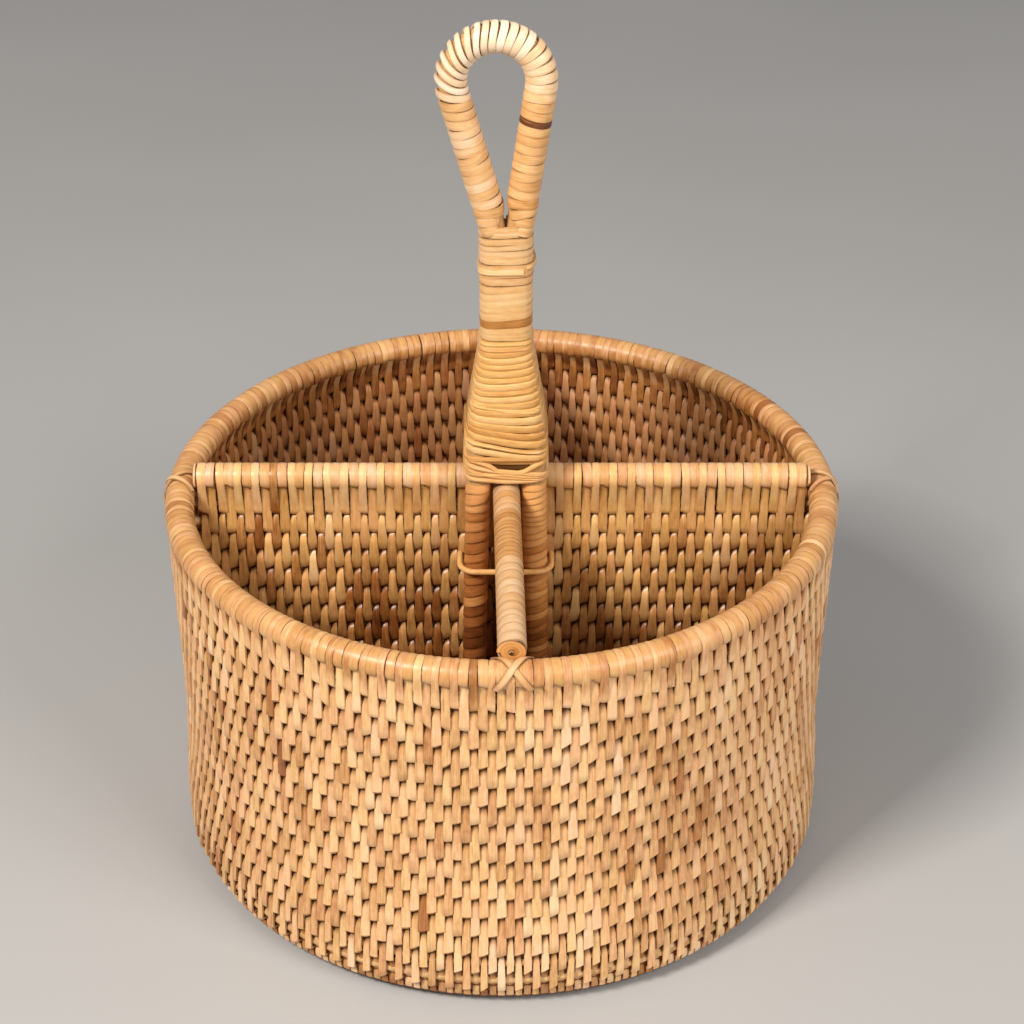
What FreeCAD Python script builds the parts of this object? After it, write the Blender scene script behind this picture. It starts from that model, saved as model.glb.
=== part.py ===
import FreeCAD, Part
import math
import os

# Round woven rattan caddy: a basket with a cross divider and two half dividers, and a tall handle that
# stands on four bound legs and ends in a teardrop loop. Millimetres. The origin is on the table under the
# centre of the basket, +Z is up and the front divider points along -Y.

# ---- basket ----
RIM_OUTER_RADIUS = 125.0
RIM_TOP = 149.4
RIM_TUBE_DIAMETER = 10.8
RIM_CORE_DIAMETER = 8.0
WALL_THICKNESS = 6.0
WALL_TOP_LAP = 1.9  # how far the woven wall laps up round the underside of the rim
WEAVE_DIP = 0.9  # how much the weave sinks between two hoops
ROW_PITCH = 8.3
FIRST_HOOP_HEIGHT = 11.5
HOOP_DIAMETER = 3.2
TOP_INSET = 0.6  # insets of the wall's outside from the rim's outside
WAIST_INSET = 2.2
WAIST_HEIGHT = 60.0
BELLY_INSET = 0.4
BELLY_HEIGHT = 18.0
FOOT_INSET = 7.0
FOOT_LIP = 3.0
FOOT_LIFT = 0.6  # the weave's lower edge stays this far off the table

# ---- base ----
BASE_HOOP_DIAMETER = 9.0
BASE_HOOP_FLAT = 0.5  # planed off the underside, so that the caddy stands firm
BASE_THICKNESS = 4.6
BASE_RIB_DIAMETER = 2.8

# ---- dividers ----
RAIL_DIAMETER = 10.4
RAIL_CORE_DIAMETER = 7.6
RAIL_RISE = 5.5  # top of the rails above the top of the rim
PANEL_THICKNESS = 6.0
RIB_DIAMETER = 3.2
FIRST_RIB_HEIGHT = 14.0
FRONT_SKEW_DEG = 1.0  # the front divider runs slightly to the right

# ---- handle ----
HANDLE_X = 1.6  # the handle stands a little right of centre
HANDLE_ROD_DIAMETER = 8.6
STRUT_DIAMETER = 7.0
LEG_BINDING = 0.6
LEG_TOP_X = 9.9
LEG_TOP_RISE = 17.1  # from the top of the rails to the legs' bend
LEG_SPLAY_DEG = 1.2
NECK_RISE = 35.0  # from the legs' bend to the foot of the shaft
SHAFT_BINDING = 0.9
SHAFT_BINDING_LENGTH = 21.7
BAND_THICKNESS = 1.1
LOWER_BAND_WIDTH = 8.0
UPPER_BAND_WIDTH = 10.0
NECK_BINDING = 1.0
NECK_LAP = 3.5  # the neck's cane runs this far up the shaft
BUNDLE_CORNER = 3.4
SPLIT_RISE = 3.35  # from the top of the bands to where the two strands part
LOOP_LENGTH = 74.3  # from there to the top of the loop
LOOP_OUTER_WIDTH = 42.4
LOOP_STRAND_DIAMETER = 11.6
LOOP_LEAN = -3.4
CROTCH_GAP = 0.4
COLLAR_BINDING = 1.0
ROD_BEND_RADIUS = 35.0
TIE_DIAMETER = 2.2
TIE_ROW = 12.5  # the leg ties pass midway between the 13th and the 14th rib

# ---- lashings at the rails' ends ----
LASHING_WIDTH = 4.0
LASHING_THICKNESS = 0.9
LASHING_ARM = 13.0
LASHING_SPREAD_DEG = 45.0

# ---- fits ----
SLIP = 0.1  # round a core or a rib in its binding
SEAT = 0.15  # between two pieces that bear on each other
NECK_SLACK = 0.35  # round the bent rods inside the neck

# ---- places that follow from the sizes above ----
RIM_TUBE_RADIUS = RIM_TUBE_DIAMETER / 2
RIM_CENTRE_RADIUS = RIM_OUTER_RADIUS - RIM_TUBE_RADIUS
RIM_CENTRE_HEIGHT = RIM_TOP - RIM_TUBE_RADIUS
WALL_TOP = RIM_CENTRE_HEIGHT - RIM_TUBE_RADIUS + WALL_TOP_LAP
HOOP_COUNT = int((WALL_TOP - FIRST_HOOP_HEIGHT - HOOP_DIAMETER / 2) / ROW_PITCH) + 1
HOOP_HEIGHTS = [FIRST_HOOP_HEIGHT + row * ROW_PITCH for row in range(HOOP_COUNT)]

BASE_HOOP_RADIUS = BASE_HOOP_DIAMETER / 2
BASE_HOOP_CENTRE_RADIUS = RIM_OUTER_RADIUS - FOOT_INSET - FOOT_LIP - BASE_HOOP_RADIUS
BASE_HOOP_CENTRE_HEIGHT = BASE_HOOP_RADIUS - BASE_HOOP_FLAT
FLOOR_HEIGHT = BASE_HOOP_CENTRE_HEIGHT + BASE_HOOP_RADIUS
BASE_RADIUS = BASE_HOOP_CENTRE_RADIUS - BASE_HOOP_RADIUS - SEAT

RAIL_RADIUS = RAIL_DIAMETER / 2
RAIL_HEIGHT = RIM_TOP + RAIL_RISE - RAIL_RADIUS
RAIL_REACH = RIM_CENTRE_RADIUS - RIM_TUBE_RADIUS - SEAT
PANEL_BOTTOM = FLOOR_HEIGHT + SEAT
PANEL_TOP = RAIL_HEIGHT - RAIL_RADIUS - SEAT
PANEL_REACH = RIM_OUTER_RADIUS - WAIST_INSET - WALL_THICKNESS - SEAT
HALF_PANEL = PANEL_THICKNESS / 2
RIB_COUNT = int((PANEL_TOP - FIRST_RIB_HEIGHT - RIB_DIAMETER / 2) / ROW_PITCH) + 1
RIB_HEIGHTS = [FIRST_RIB_HEIGHT + row * ROW_PITCH for row in range(RIB_COUNT)]

ROD_RADIUS = HANDLE_ROD_DIAMETER / 2
STRUT_RADIUS = STRUT_DIAMETER / 2
FRONT_LEG_Y = -(RAIL_RADIUS + SEAT + LEG_BINDING + ROD_RADIUS)
REAR_LEG_Y = RAIL_RADIUS + SEAT + LEG_BINDING + STRUT_RADIUS
FOOT_HEIGHT = FLOOR_HEIGHT + SEAT
LEG_TOP_HEIGHT = RAIL_HEIGHT + RAIL_RADIUS + LEG_TOP_RISE
SHAFT_FOOT_HEIGHT = LEG_TOP_HEIGHT + NECK_RISE
LEG_FOOT_X = LEG_TOP_X + (LEG_TOP_HEIGHT - FOOT_HEIGHT) * math.tan(math.radians(LEG_SPLAY_DEG))
SHAFT_ROD_X = ROD_RADIUS + SLIP / 2
SHAFT_STRUT_X = STRUT_RADIUS + SLIP / 2
SHAFT_ROD_Y = -(STRUT_RADIUS + SLIP / 2)
SHAFT_STRUT_Y = ROD_RADIUS + SLIP / 2
NECK_BOTTOM = RAIL_HEIGHT + RAIL_RADIUS + SEAT
NECK_TOP = SHAFT_FOOT_HEIGHT + NECK_LAP
SHAFT_BINDING_BOTTOM = NECK_TOP + SEAT
SHAFT_BINDING_TOP = SHAFT_BINDING_BOTTOM + SHAFT_BINDING_LENGTH
LOWER_BAND_BOTTOM = SHAFT_BINDING_TOP + SEAT
LOWER_BAND_TOP = LOWER_BAND_BOTTOM + LOWER_BAND_WIDTH
UPPER_BAND_BOTTOM = LOWER_BAND_TOP + SEAT
UPPER_BAND_TOP = UPPER_BAND_BOTTOM + UPPER_BAND_WIDTH
LOOP_BINDING_BOTTOM = UPPER_BAND_TOP + SEAT
SPLIT_HEIGHT = UPPER_BAND_TOP + SPLIT_RISE
LOOP_TOP = SPLIT_HEIGHT + LOOP_LENGTH
STRAND_RADIUS = LOOP_STRAND_DIAMETER / 2
LOOP_RADIUS = LOOP_OUTER_WIDTH / 2 - STRAND_RADIUS
LOOP_CENTRE_HEIGHT = LOOP_TOP - STRAND_RADIUS - LOOP_RADIUS
TIE_HEIGHT = FIRST_RIB_HEIGHT + TIE_ROW * ROW_PITCH
TIE_RADIUS = TIE_DIAMETER / 2

UP = FreeCAD.Vector(0, 0, 1)
ALONG_X = FreeCAD.Vector(1, 0, 0)
ALONG_Y = FreeCAD.Vector(0, 1, 0)
ORIGIN = FreeCAD.Vector(0, 0, 0)


def point(x, y, z):
    return FreeCAD.Vector(x, y, z)


def handle_point(x, y, z):
    """A point of the handle, with x counted from the handle's own middle."""
    return FreeCAD.Vector(HANDLE_X + x, y, z)


def eased(start, end, share):
    """A smooth step from start to end."""
    return start + (end - start) * (1 - math.cos(math.pi * share)) / 2


def wall_outer_radius(height):
    """The woven wall's outside: rounded under at the foot, full at the belly and slightly waisted."""
    if height < BELLY_HEIGHT:
        drop = (BELLY_HEIGHT - height) / (BELLY_HEIGHT - FOOT_LIFT)
        inset = BELLY_INSET + (FOOT_INSET - BELLY_INSET) * (1 - math.sqrt(max(0.0, 1 - drop ** 3)))
    elif height < WAIST_HEIGHT:
        inset = eased(BELLY_INSET, WAIST_INSET, (height - BELLY_HEIGHT) / (WAIST_HEIGHT - BELLY_HEIGHT))
    else:
        inset = eased(WAIST_INSET, TOP_INSET, (height - WAIST_HEIGHT) / (WALL_TOP - WAIST_HEIGHT))
    return RIM_OUTER_RADIUS - inset


def revolved(section, sector):
    """One sector of a ring from (radius, height) points."""
    start_deg, end_deg = sector
    corners = [point(radius, 0, height) for radius, height in section]
    face = Part.Face(Part.makePolygon(corners + corners[:1]))
    face.rotate(ORIGIN, UP, start_deg)
    return face.revolve(ORIGIN, UP, end_deg - start_deg)


def ring(centre_radius, centre_height, wire_radius):
    return Part.makeTorus(centre_radius, wire_radius, point(0, 0, centre_height))


def bent_rod(centre_radius, centre_height, wire_radius, sector):
    """One sector of a round ring."""
    start_deg, end_deg = sector
    centre = point(0, 0, centre_height)
    bend = Part.makeTorus(centre_radius, wire_radius, centre, UP, 0, 360, end_deg - start_deg)
    bend.rotate(ORIGIN, UP, start_deg)
    return bend


def rod(start, direction, length, diameter):
    return Part.makeCylinder(diameter / 2, length, start, direction)


def tube(start, direction, length, outer_diameter, inner_diameter):
    return rod(start, direction, length, outer_diameter).cut(rod(start, direction, length, inner_diameter))


# ---- basket ----
def weave_stations(low, high, heights):
    """(height, share of the dip) down one side of a weave: full at each hoop and sunk halfway between."""
    stations = [(low, 1.0)]
    for height in heights:
        stations.append((height, 0.0))
        stations.append((min(height + ROW_PITCH / 2, high), 1.0))
    if stations[-1][0] < high:
        stations.append((high, 1.0))
    return stations


def wall_hoops():
    rings = []
    for height in HOOP_HEIGHTS:
        radius = wall_outer_radius(height) - WALL_THICKNESS / 2
        rings.append(ring(radius, height, HOOP_DIAMETER / 2))
    return Part.makeCompound(rings)


def wall_weave(sector):
    """The woven skin of one sector of the wall, with a channel for each hoop."""
    heel = FIRST_HOOP_HEIGHT - ROW_PITCH / 2
    stations = weave_stations(heel, WALL_TOP, HOOP_HEIGHTS)
    outside = [(wall_outer_radius(height) - dip * WEAVE_DIP, height) for height, dip in stations]
    inside = [(wall_outer_radius(height) - WALL_THICKNESS + dip * WEAVE_DIP, height)
              for height, dip in reversed(stations)]
    knuckle = (FOOT_LIFT + heel) / 2
    foot = [(wall_outer_radius(FOOT_LIFT), FOOT_LIFT), (wall_outer_radius(knuckle), knuckle)]
    tuck = [(BASE_HOOP_CENTRE_RADIUS, FOOT_LIFT)]
    wall = revolved(foot + outside + inside + tuck, sector)
    wall = wall.cut(ring(BASE_HOOP_CENTRE_RADIUS, BASE_HOOP_CENTRE_HEIGHT, BASE_HOOP_RADIUS + SEAT))
    wall = wall.cut(ring(RIM_CENTRE_RADIUS, RIM_CENTRE_HEIGHT, RIM_TUBE_RADIUS + SLIP))
    for height in HOOP_HEIGHTS:
        radius = wall_outer_radius(height) - WALL_THICKNESS / 2
        wall = wall.cut(ring(radius, height, HOOP_DIAMETER / 2 + SLIP))
    return wall


def rim_core():
    return ring(RIM_CENTRE_RADIUS, RIM_CENTRE_HEIGHT, RIM_CORE_DIAMETER / 2)


def rim_binding(sector):
    """The wound skin of the rim between two of its lashings."""
    skin = bent_rod(RIM_CENTRE_RADIUS, RIM_CENTRE_HEIGHT, RIM_TUBE_RADIUS, sector)
    return skin.cut(bent_rod(RIM_CENTRE_RADIUS, RIM_CENTRE_HEIGHT, RIM_CORE_DIAMETER / 2 + SLIP, sector))


def base_hoop():
    hoop = ring(BASE_HOOP_CENTRE_RADIUS, BASE_HOOP_CENTRE_HEIGHT, BASE_HOOP_RADIUS)
    shaving = Part.makeCylinder(RIM_OUTER_RADIUS, BASE_HOOP_DIAMETER, point(0, 0, -BASE_HOOP_DIAMETER))
    return hoop.cut(shaving)


def base_rib_lines():
    """The offsets of the base's ribs from the middle, evenly spaced to both sides."""
    side = int((BASE_RADIUS - BASE_THICKNESS) / ROW_PITCH)
    return [row * ROW_PITCH for row in range(-side, side + 1)]


def base_rib(offset, diameter):
    start = point(-BASE_RADIUS, offset, FLOOR_HEIGHT - BASE_THICKNESS / 2)
    return rod(start, ALONG_X, 2 * BASE_RADIUS, diameter)


def base_disc():
    return Part.makeCylinder(BASE_RADIUS, BASE_THICKNESS, point(0, 0, FLOOR_HEIGHT - BASE_THICKNESS))


def base_ribs():
    disc = base_disc()
    ribs = [base_rib(offset, BASE_RIB_DIAMETER).common(disc) for offset in base_rib_lines()]
    return Part.makeCompound(ribs)


def base_weave():
    disc = base_disc()
    for offset in base_rib_lines():
        disc = disc.cut(base_rib(offset, BASE_RIB_DIAMETER + 2 * SLIP))
    return disc


# ---- dividers, each made along +X and then turned to its place ----
def chord_reach(radius, side):
    """How far a line at a side offset runs before it meets a circle."""
    return math.sqrt(radius ** 2 - side ** 2)


def clear_of_rim(shape):
    """A divider's piece, notched at its upper end for the rim."""
    return shape.cut(ring(RIM_CENTRE_RADIUS, RIM_CENTRE_HEIGHT, RIM_TUBE_RADIUS + SEAT))


class Divider:
    """A woven panel under a wrapped rail, from start to end along its own X."""

    def __init__(self, panel_start, panel_end, rail_start, rail_end, middle, turn_deg):
        self.panel_start = panel_start
        self.panel_end = panel_end
        self.rail_start = rail_start
        self.rail_end = rail_end
        self.middle = middle
        self.turn_deg = turn_deg

    def placed(self, shape):
        shape.rotate(ORIGIN, UP, self.turn_deg)
        shape.translate(self.middle)
        return shape

    def rail_core(self):
        start = point(self.rail_start, 0, RAIL_HEIGHT)
        return self.placed(rod(start, ALONG_X, self.rail_end - self.rail_start, RAIL_CORE_DIAMETER))

    def rail_binding(self):
        start = point(self.rail_start, 0, RAIL_HEIGHT)
        length = self.rail_end - self.rail_start
        return self.placed(tube(start, ALONG_X, length, RAIL_DIAMETER, RAIL_CORE_DIAMETER + 2 * SLIP))

    def rib(self, height, diameter):
        start = point(self.panel_start, 0, height)
        return rod(start, ALONG_X, self.panel_end - self.panel_start, diameter)

    def ribs(self):
        return Part.makeCompound([clear_of_rim(self.placed(self.rib(height, RIB_DIAMETER)))
                                  for height in RIB_HEIGHTS])

    def weave(self):
        """The woven panel, with a bore for each rib."""
        stations = weave_stations(PANEL_BOTTOM, PANEL_TOP, RIB_HEIGHTS)
        near = [point(self.panel_start, -HALF_PANEL + dip * WEAVE_DIP, height) for height, dip in stations]
        far = [point(self.panel_start, HALF_PANEL - dip * WEAVE_DIP, height)
               for height, dip in reversed(stations)]
        face = Part.Face(Part.makePolygon(near + far + near[:1]))
        panel = face.extrude(point(self.panel_end - self.panel_start, 0, 0))
        for height in RIB_HEIGHTS:
            panel = panel.cut(self.rib(height, RIB_DIAMETER + 2 * SLIP))
        return clear_of_rim(self.placed(panel))


FRONT_END_X = HANDLE_X + PANEL_REACH * math.sin(math.radians(FRONT_SKEW_DEG))
FRONT_PANEL_END = chord_reach(PANEL_REACH, FRONT_END_X + HALF_PANEL)
FRONT_RAIL_END = chord_reach(RAIL_REACH, FRONT_END_X)
BACK_PANEL_END = chord_reach(PANEL_REACH, HANDLE_X + HALF_PANEL)
BACK_RAIL_END = chord_reach(RAIL_REACH, HANDLE_X)
HALF_PANEL_START = HALF_PANEL + SEAT
HALF_RAIL_START = RAIL_RADIUS + SEAT

DIVIDERS = {
    "cross": Divider(-PANEL_REACH, PANEL_REACH, -RAIL_REACH, RAIL_REACH, ORIGIN, 0.0),
    "front": Divider(HALF_PANEL_START, FRONT_PANEL_END, HALF_RAIL_START, FRONT_RAIL_END,
                     point(HANDLE_X, 0, 0), -90.0 + FRONT_SKEW_DEG),
    "back": Divider(HALF_PANEL_START, BACK_PANEL_END, HALF_RAIL_START, BACK_RAIL_END,
                    point(HANDLE_X, 0, 0), 90.0),
}


# ---- handle ----
def rounded_run(corners, bend_radius):
    """Straight edges through the corners, with a tangent arc at each inner corner."""
    edges = []
    start = corners[0]
    for before, corner, after in zip(corners, corners[1:], corners[2:]):
        incoming = (corner - before).normalize()
        outgoing = (after - corner).normalize()
        turn = incoming.getAngle(outgoing)
        setback = bend_radius * math.tan(turn / 2)
        arc_start = corner - incoming * setback
        arc_end = corner + outgoing * setback
        inward = (outgoing - incoming).normalize()
        arc_middle = corner + inward * (bend_radius / math.cos(turn / 2) - bend_radius)
        edges.append(Part.LineSegment(start, arc_start).toShape())
        edges.append(Part.Arc(arc_start, arc_middle, arc_end).toShape())
        start = arc_end
    edges.append(Part.LineSegment(start, corners[-1]).toShape())
    return edges


def swept(edges, diameter):
    """A round rod along the edges."""
    path = Part.Wire(edges)
    first = edges[0]
    tangent = first.tangentAt(first.FirstParameter)
    section = Part.Wire(Part.makeCircle(diameter / 2, first.valueAt(first.FirstParameter), tangent))
    return path.makePipeShell([section], True, False)


def leg_point(side, leg_y, height):
    """The middle of a leg at a height below its bend."""
    spread = (LEG_TOP_HEIGHT - height) * math.tan(math.radians(LEG_SPLAY_DEG))
    return handle_point(side * (LEG_TOP_X + spread), leg_y, height)


def loop_tangent(side):
    """Where the straight strand of one side runs into the loop's arc."""
    across = LOOP_LEAN - side * SHAFT_ROD_X
    rise = LOOP_CENTRE_HEIGHT - SPLIT_HEIGHT
    distance = math.hypot(across, rise)
    toward_centre = math.atan2(rise, across)
    opening = math.asin(LOOP_RADIUS / distance)
    heading = toward_centre - side * opening
    reach = math.sqrt(distance ** 2 - LOOP_RADIUS ** 2)
    x = side * SHAFT_ROD_X + reach * math.cos(heading)
    return handle_point(x, SHAFT_ROD_Y, SPLIT_HEIGHT + reach * math.sin(heading))


def strand_corners(side, lowest):
    """One side of the handle rod from its lowest corners up to the loop's arc."""
    split = handle_point(side * SHAFT_ROD_X, SHAFT_ROD_Y, SPLIT_HEIGHT)
    return lowest + [split, loop_tangent(side)]


def loop_arc():
    top = handle_point(LOOP_LEAN, SHAFT_ROD_Y, LOOP_CENTRE_HEIGHT + LOOP_RADIUS)
    return Part.Arc(loop_tangent(-1), top, loop_tangent(1)).toShape()


def whole_strand(left_lowest, right_lowest):
    """Edges up the left side, over the loop and down the right side."""
    left = rounded_run(strand_corners(-1, left_lowest), ROD_BEND_RADIUS)
    right_corners = strand_corners(1, right_lowest)
    right = rounded_run(list(reversed(right_corners)), ROD_BEND_RADIUS)
    return left + [loop_arc()] + right


def front_rod_lowest(side):
    return [
        leg_point(side, FRONT_LEG_Y, FOOT_HEIGHT),
        leg_point(side, FRONT_LEG_Y, LEG_TOP_HEIGHT),
        handle_point(side * SHAFT_ROD_X, SHAFT_ROD_Y, SHAFT_FOOT_HEIGHT),
    ]


def handle_rod():
    """One long rod: up the left leg, round the loop and down the right leg."""
    return swept(whole_strand(front_rod_lowest(-1), front_rod_lowest(1)), HANDLE_ROD_DIAMETER)


def rear_strut(side):
    corners = [
        leg_point(side, REAR_LEG_Y, FOOT_HEIGHT),
        leg_point(side, REAR_LEG_Y, LEG_TOP_HEIGHT),
        handle_point(side * SHAFT_STRUT_X, SHAFT_STRUT_Y, SHAFT_FOOT_HEIGHT),
        handle_point(side * SHAFT_STRUT_X, SHAFT_STRUT_Y, UPPER_BAND_TOP),
    ]
    return swept(rounded_run(corners, ROD_BEND_RADIUS), STRUT_DIAMETER)


def strand_x(side, height):
    """The x of a straight strand, counted from the handle's middle, at a height above the split."""
    tangent = loop_tangent(side)
    share = (height - SPLIT_HEIGHT) / (tangent.z - SPLIT_HEIGHT)
    return side * SHAFT_ROD_X + (tangent.x - HANDLE_X - side * SHAFT_ROD_X) * share


def crotch_height():
    """Where the two strands, each in its own winding, just clear each other."""
    opening = strand_x(1, LOOP_CENTRE_HEIGHT) - strand_x(-1, LOOP_CENTRE_HEIGHT) - 2 * SHAFT_ROD_X
    widening = opening / (LOOP_CENTRE_HEIGHT - SPLIT_HEIGHT)
    return SPLIT_HEIGHT + (LOOP_STRAND_DIAMETER + CROTCH_GAP - 2 * SHAFT_ROD_X) / widening


def strand_start(side, height):
    return handle_point(strand_x(side, height), SHAFT_ROD_Y, height)


def loop_edges(lowest):
    """Edges from a height on the left strand, round the loop, to the same height on the right strand."""
    left = Part.LineSegment(strand_start(-1, lowest), loop_tangent(-1)).toShape()
    right = Part.LineSegment(loop_tangent(1), strand_start(1, lowest)).toShape()
    return [left, loop_arc(), right]


def collar_outline(height, cover):
    """An outline round both strands at a height, with a cover of this thickness."""
    above_split = max(height, SPLIT_HEIGHT)
    half_width = max(strand_x(1, above_split), -strand_x(-1, above_split)) + ROD_RADIUS + cover
    front = SHAFT_ROD_Y - ROD_RADIUS - cover
    back = SHAFT_ROD_Y + ROD_RADIUS + cover
    return rounded_outline(half_width, front, back, BUNDLE_CORNER + cover, height)


def loop_binding():
    """The peel wound round the loop, and the collar of peel round both strands below the crotch."""
    lowest = crotch_height()
    winding = swept(loop_edges(lowest), LOOP_STRAND_DIAMETER)
    winding = winding.cut(swept(loop_edges(lowest), HANDLE_ROD_DIAMETER + 2 * SLIP))
    collar_top = lowest - STRAND_RADIUS * LOOP_RADIUS / (LOOP_CENTRE_HEIGHT - SPLIT_HEIGHT) - SEAT
    heights = [LOOP_BINDING_BOTTOM, SPLIT_HEIGHT, collar_top]
    covers = (NECK_SLACK + COLLAR_BINDING, NECK_SLACK)
    outer, inner = [Part.makeLoft([collar_outline(height, cover) for height in heights], True, True)
                    for cover in covers]
    return Part.makeCompound([winding, outer.cut(inner)])


def rounded_outline(half_width, front, back, corner, height):
    """A rounded rectangle round the rods, as a closed wire at a height."""
    left, right = HANDLE_X - half_width, HANDLE_X + half_width
    bevel = corner * (1 - math.sqrt(0.5))
    edges = [
        Part.LineSegment(point(left + corner, front, height), point(right - corner, front, height)),
        Part.Arc(point(right - corner, front, height), point(right - bevel, front + bevel, height),
                 point(right, front + corner, height)),
        Part.LineSegment(point(right, front + corner, height), point(right, back - corner, height)),
        Part.Arc(point(right, back - corner, height), point(right - bevel, back - bevel, height),
                 point(right - corner, back, height)),
        Part.LineSegment(point(right - corner, back, height), point(left + corner, back, height)),
        Part.Arc(point(left + corner, back, height), point(left + bevel, back - bevel, height),
                 point(left, back - corner, height)),
        Part.LineSegment(point(left, back - corner, height), point(left, front + corner, height)),
        Part.Arc(point(left, front + corner, height), point(left + bevel, front + bevel, height),
                 point(left + corner, front, height)),
    ]
    return Part.Wire([edge.toShape() for edge in edges])


def bundle_at(height):
    """Half width, front and back of the bundle of rods at a height, bare."""
    if height >= SHAFT_FOOT_HEIGHT:
        share = 0.0
    else:
        share = min(1.0, (SHAFT_FOOT_HEIGHT - height) / (SHAFT_FOOT_HEIGHT - LEG_TOP_HEIGHT))
    splay = max(0.0, LEG_TOP_HEIGHT - height) * math.tan(math.radians(LEG_SPLAY_DEG))
    half_width = SHAFT_ROD_X + (LEG_TOP_X - SHAFT_ROD_X) * share + splay + ROD_RADIUS
    front = SHAFT_ROD_Y + (FRONT_LEG_Y - SHAFT_ROD_Y) * share - ROD_RADIUS
    back = SHAFT_STRUT_Y + (REAR_LEG_Y - SHAFT_STRUT_Y) * share + STRUT_RADIUS
    return half_width, front, back


def bundle_solid(heights, cover):
    """The bundle of rods with a cover of this thickness, as one solid through the heights."""
    outlines = []
    for height in heights:
        half_width, front, back = bundle_at(height)
        outlines.append(rounded_outline(half_width + cover, front - cover, back + cover,
                                        BUNDLE_CORNER + cover, height))
    return Part.makeLoft(outlines, True, True)


def bundle_wrap(heights, slack, thickness):
    return bundle_solid(heights, slack + thickness).cut(bundle_solid(heights, slack))


def neck_binding():
    """Round cane wound over the place where the four legs come together."""
    return bundle_wrap([NECK_BOTTOM, LEG_TOP_HEIGHT, SHAFT_FOOT_HEIGHT, NECK_TOP], NECK_SLACK, NECK_BINDING)


def leg_binding(side, leg_y, core_diameter):
    foot = leg_point(side, leg_y, FOOT_HEIGHT)
    top = leg_point(side, leg_y, NECK_BOTTOM - SEAT)
    run = top - foot
    outer = core_diameter + 2 * LEG_BINDING
    tilt_lift = outer / 2 * math.tan(math.radians(LEG_SPLAY_DEG))
    length = run.Length - 2 * tilt_lift
    heading = run.normalize()
    return tube(foot + heading * tilt_lift, heading, length, outer, core_diameter + SLIP)


def leg_tie(leg_y, core_diameter):
    """A cane that runs out of the divider's weave, round both legs of one side and back into the weave."""
    outward = math.copysign(1, leg_y)
    reach = core_diameter / 2 + LEG_BINDING + SEAT + TIE_RADIUS
    face_y = outward * (HALF_PANEL + SLIP)
    half = leg_point(1, leg_y, TIE_HEIGHT).x - HANDLE_X
    knee = reach * math.sqrt(0.5)
    outer_y = leg_y + outward * reach
    knee_y = leg_y + outward * knee
    edges = [
        Part.LineSegment(handle_point(-half - reach, face_y, TIE_HEIGHT),
                         handle_point(-half - reach, leg_y, TIE_HEIGHT)),
        Part.Arc(handle_point(-half - reach, leg_y, TIE_HEIGHT),
                 handle_point(-half - knee, knee_y, TIE_HEIGHT),
                 handle_point(-half, outer_y, TIE_HEIGHT)),
        Part.LineSegment(handle_point(-half, outer_y, TIE_HEIGHT), handle_point(half, outer_y, TIE_HEIGHT)),
        Part.Arc(handle_point(half, outer_y, TIE_HEIGHT),
                 handle_point(half + knee, knee_y, TIE_HEIGHT),
                 handle_point(half + reach, leg_y, TIE_HEIGHT)),
        Part.LineSegment(handle_point(half + reach, leg_y, TIE_HEIGHT),
                         handle_point(half + reach, face_y, TIE_HEIGHT)),
    ]
    return swept([edge.toShape() for edge in edges], TIE_DIAMETER)


def tie_hole(leg_y, core_diameter):
    """The way that a leg tie takes through the half divider between the legs."""
    reach = core_diameter / 2 + LEG_BINDING + SEAT + TIE_RADIUS
    middle_y = leg_y + math.copysign(reach, leg_y)
    start = handle_point(-PANEL_THICKNESS, middle_y, TIE_HEIGHT)
    return rod(start, ALONG_X, 2 * PANEL_THICKNESS, TIE_DIAMETER + 2 * SEAT)


# ---- lashings ----
def rim_lashing(azimuth_deg):
    """A flat strip that crosses over the rim at a rail's end, its two arms bent down over the rim."""
    skin = ring(RIM_CENTRE_RADIUS, RIM_CENTRE_HEIGHT, RIM_TUBE_RADIUS + SLIP + LASHING_THICKNESS)
    skin = skin.cut(ring(RIM_CENTRE_RADIUS, RIM_CENTRE_HEIGHT, RIM_TUBE_RADIUS + SLIP))
    crossing = RIM_CENTRE_RADIUS - RIM_TUBE_RADIUS / 2
    arms = []
    for side in (-1, 1):
        arm = Part.makeBox(LASHING_ARM, LASHING_WIDTH, RIM_TUBE_DIAMETER,
                           point(-LASHING_WIDTH / 2, -LASHING_WIDTH / 2, 0))
        arm.rotate(ORIGIN, UP, side * LASHING_SPREAD_DEG)
        arm.translate(point(crossing, 0, RIM_CENTRE_HEIGHT))
        arms.append(arm)
    lashing = skin.common(arms[0].fuse(arms[1]))
    lashing.rotate(ORIGIN, UP, azimuth_deg)
    return lashing


FRONT_AZIMUTH = -90.0 + math.degrees(math.asin(FRONT_END_X / RIM_CENTRE_RADIUS))
BACK_AZIMUTH = 90.0 - math.degrees(math.asin(HANDLE_X / RIM_CENTRE_RADIUS))
LEFT_AZIMUTH = 180.0
LASHING_AZIMUTHS = {"front": FRONT_AZIMUTH, "back": BACK_AZIMUTH, "left": LEFT_AZIMUTH, "right": 0.0}

# The basket's wall and rim are worked in four sectors, one to each compartment.
SECTORS = {
    "front_right": (FRONT_AZIMUTH, 0.0),
    "back_right": (0.0, BACK_AZIMUTH),
    "back_left": (BACK_AZIMUTH, LEFT_AZIMUTH),
    "front_left": (LEFT_AZIMUTH, FRONT_AZIMUTH + 360.0),
}

SHAFT_STATIONS = [SHAFT_BINDING_BOTTOM, SHAFT_BINDING_TOP]
LOWER_BAND_STATIONS = [LOWER_BAND_BOTTOM, LOWER_BAND_TOP]
UPPER_BAND_STATIONS = [UPPER_BAND_BOTTOM, UPPER_BAND_TOP]

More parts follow.
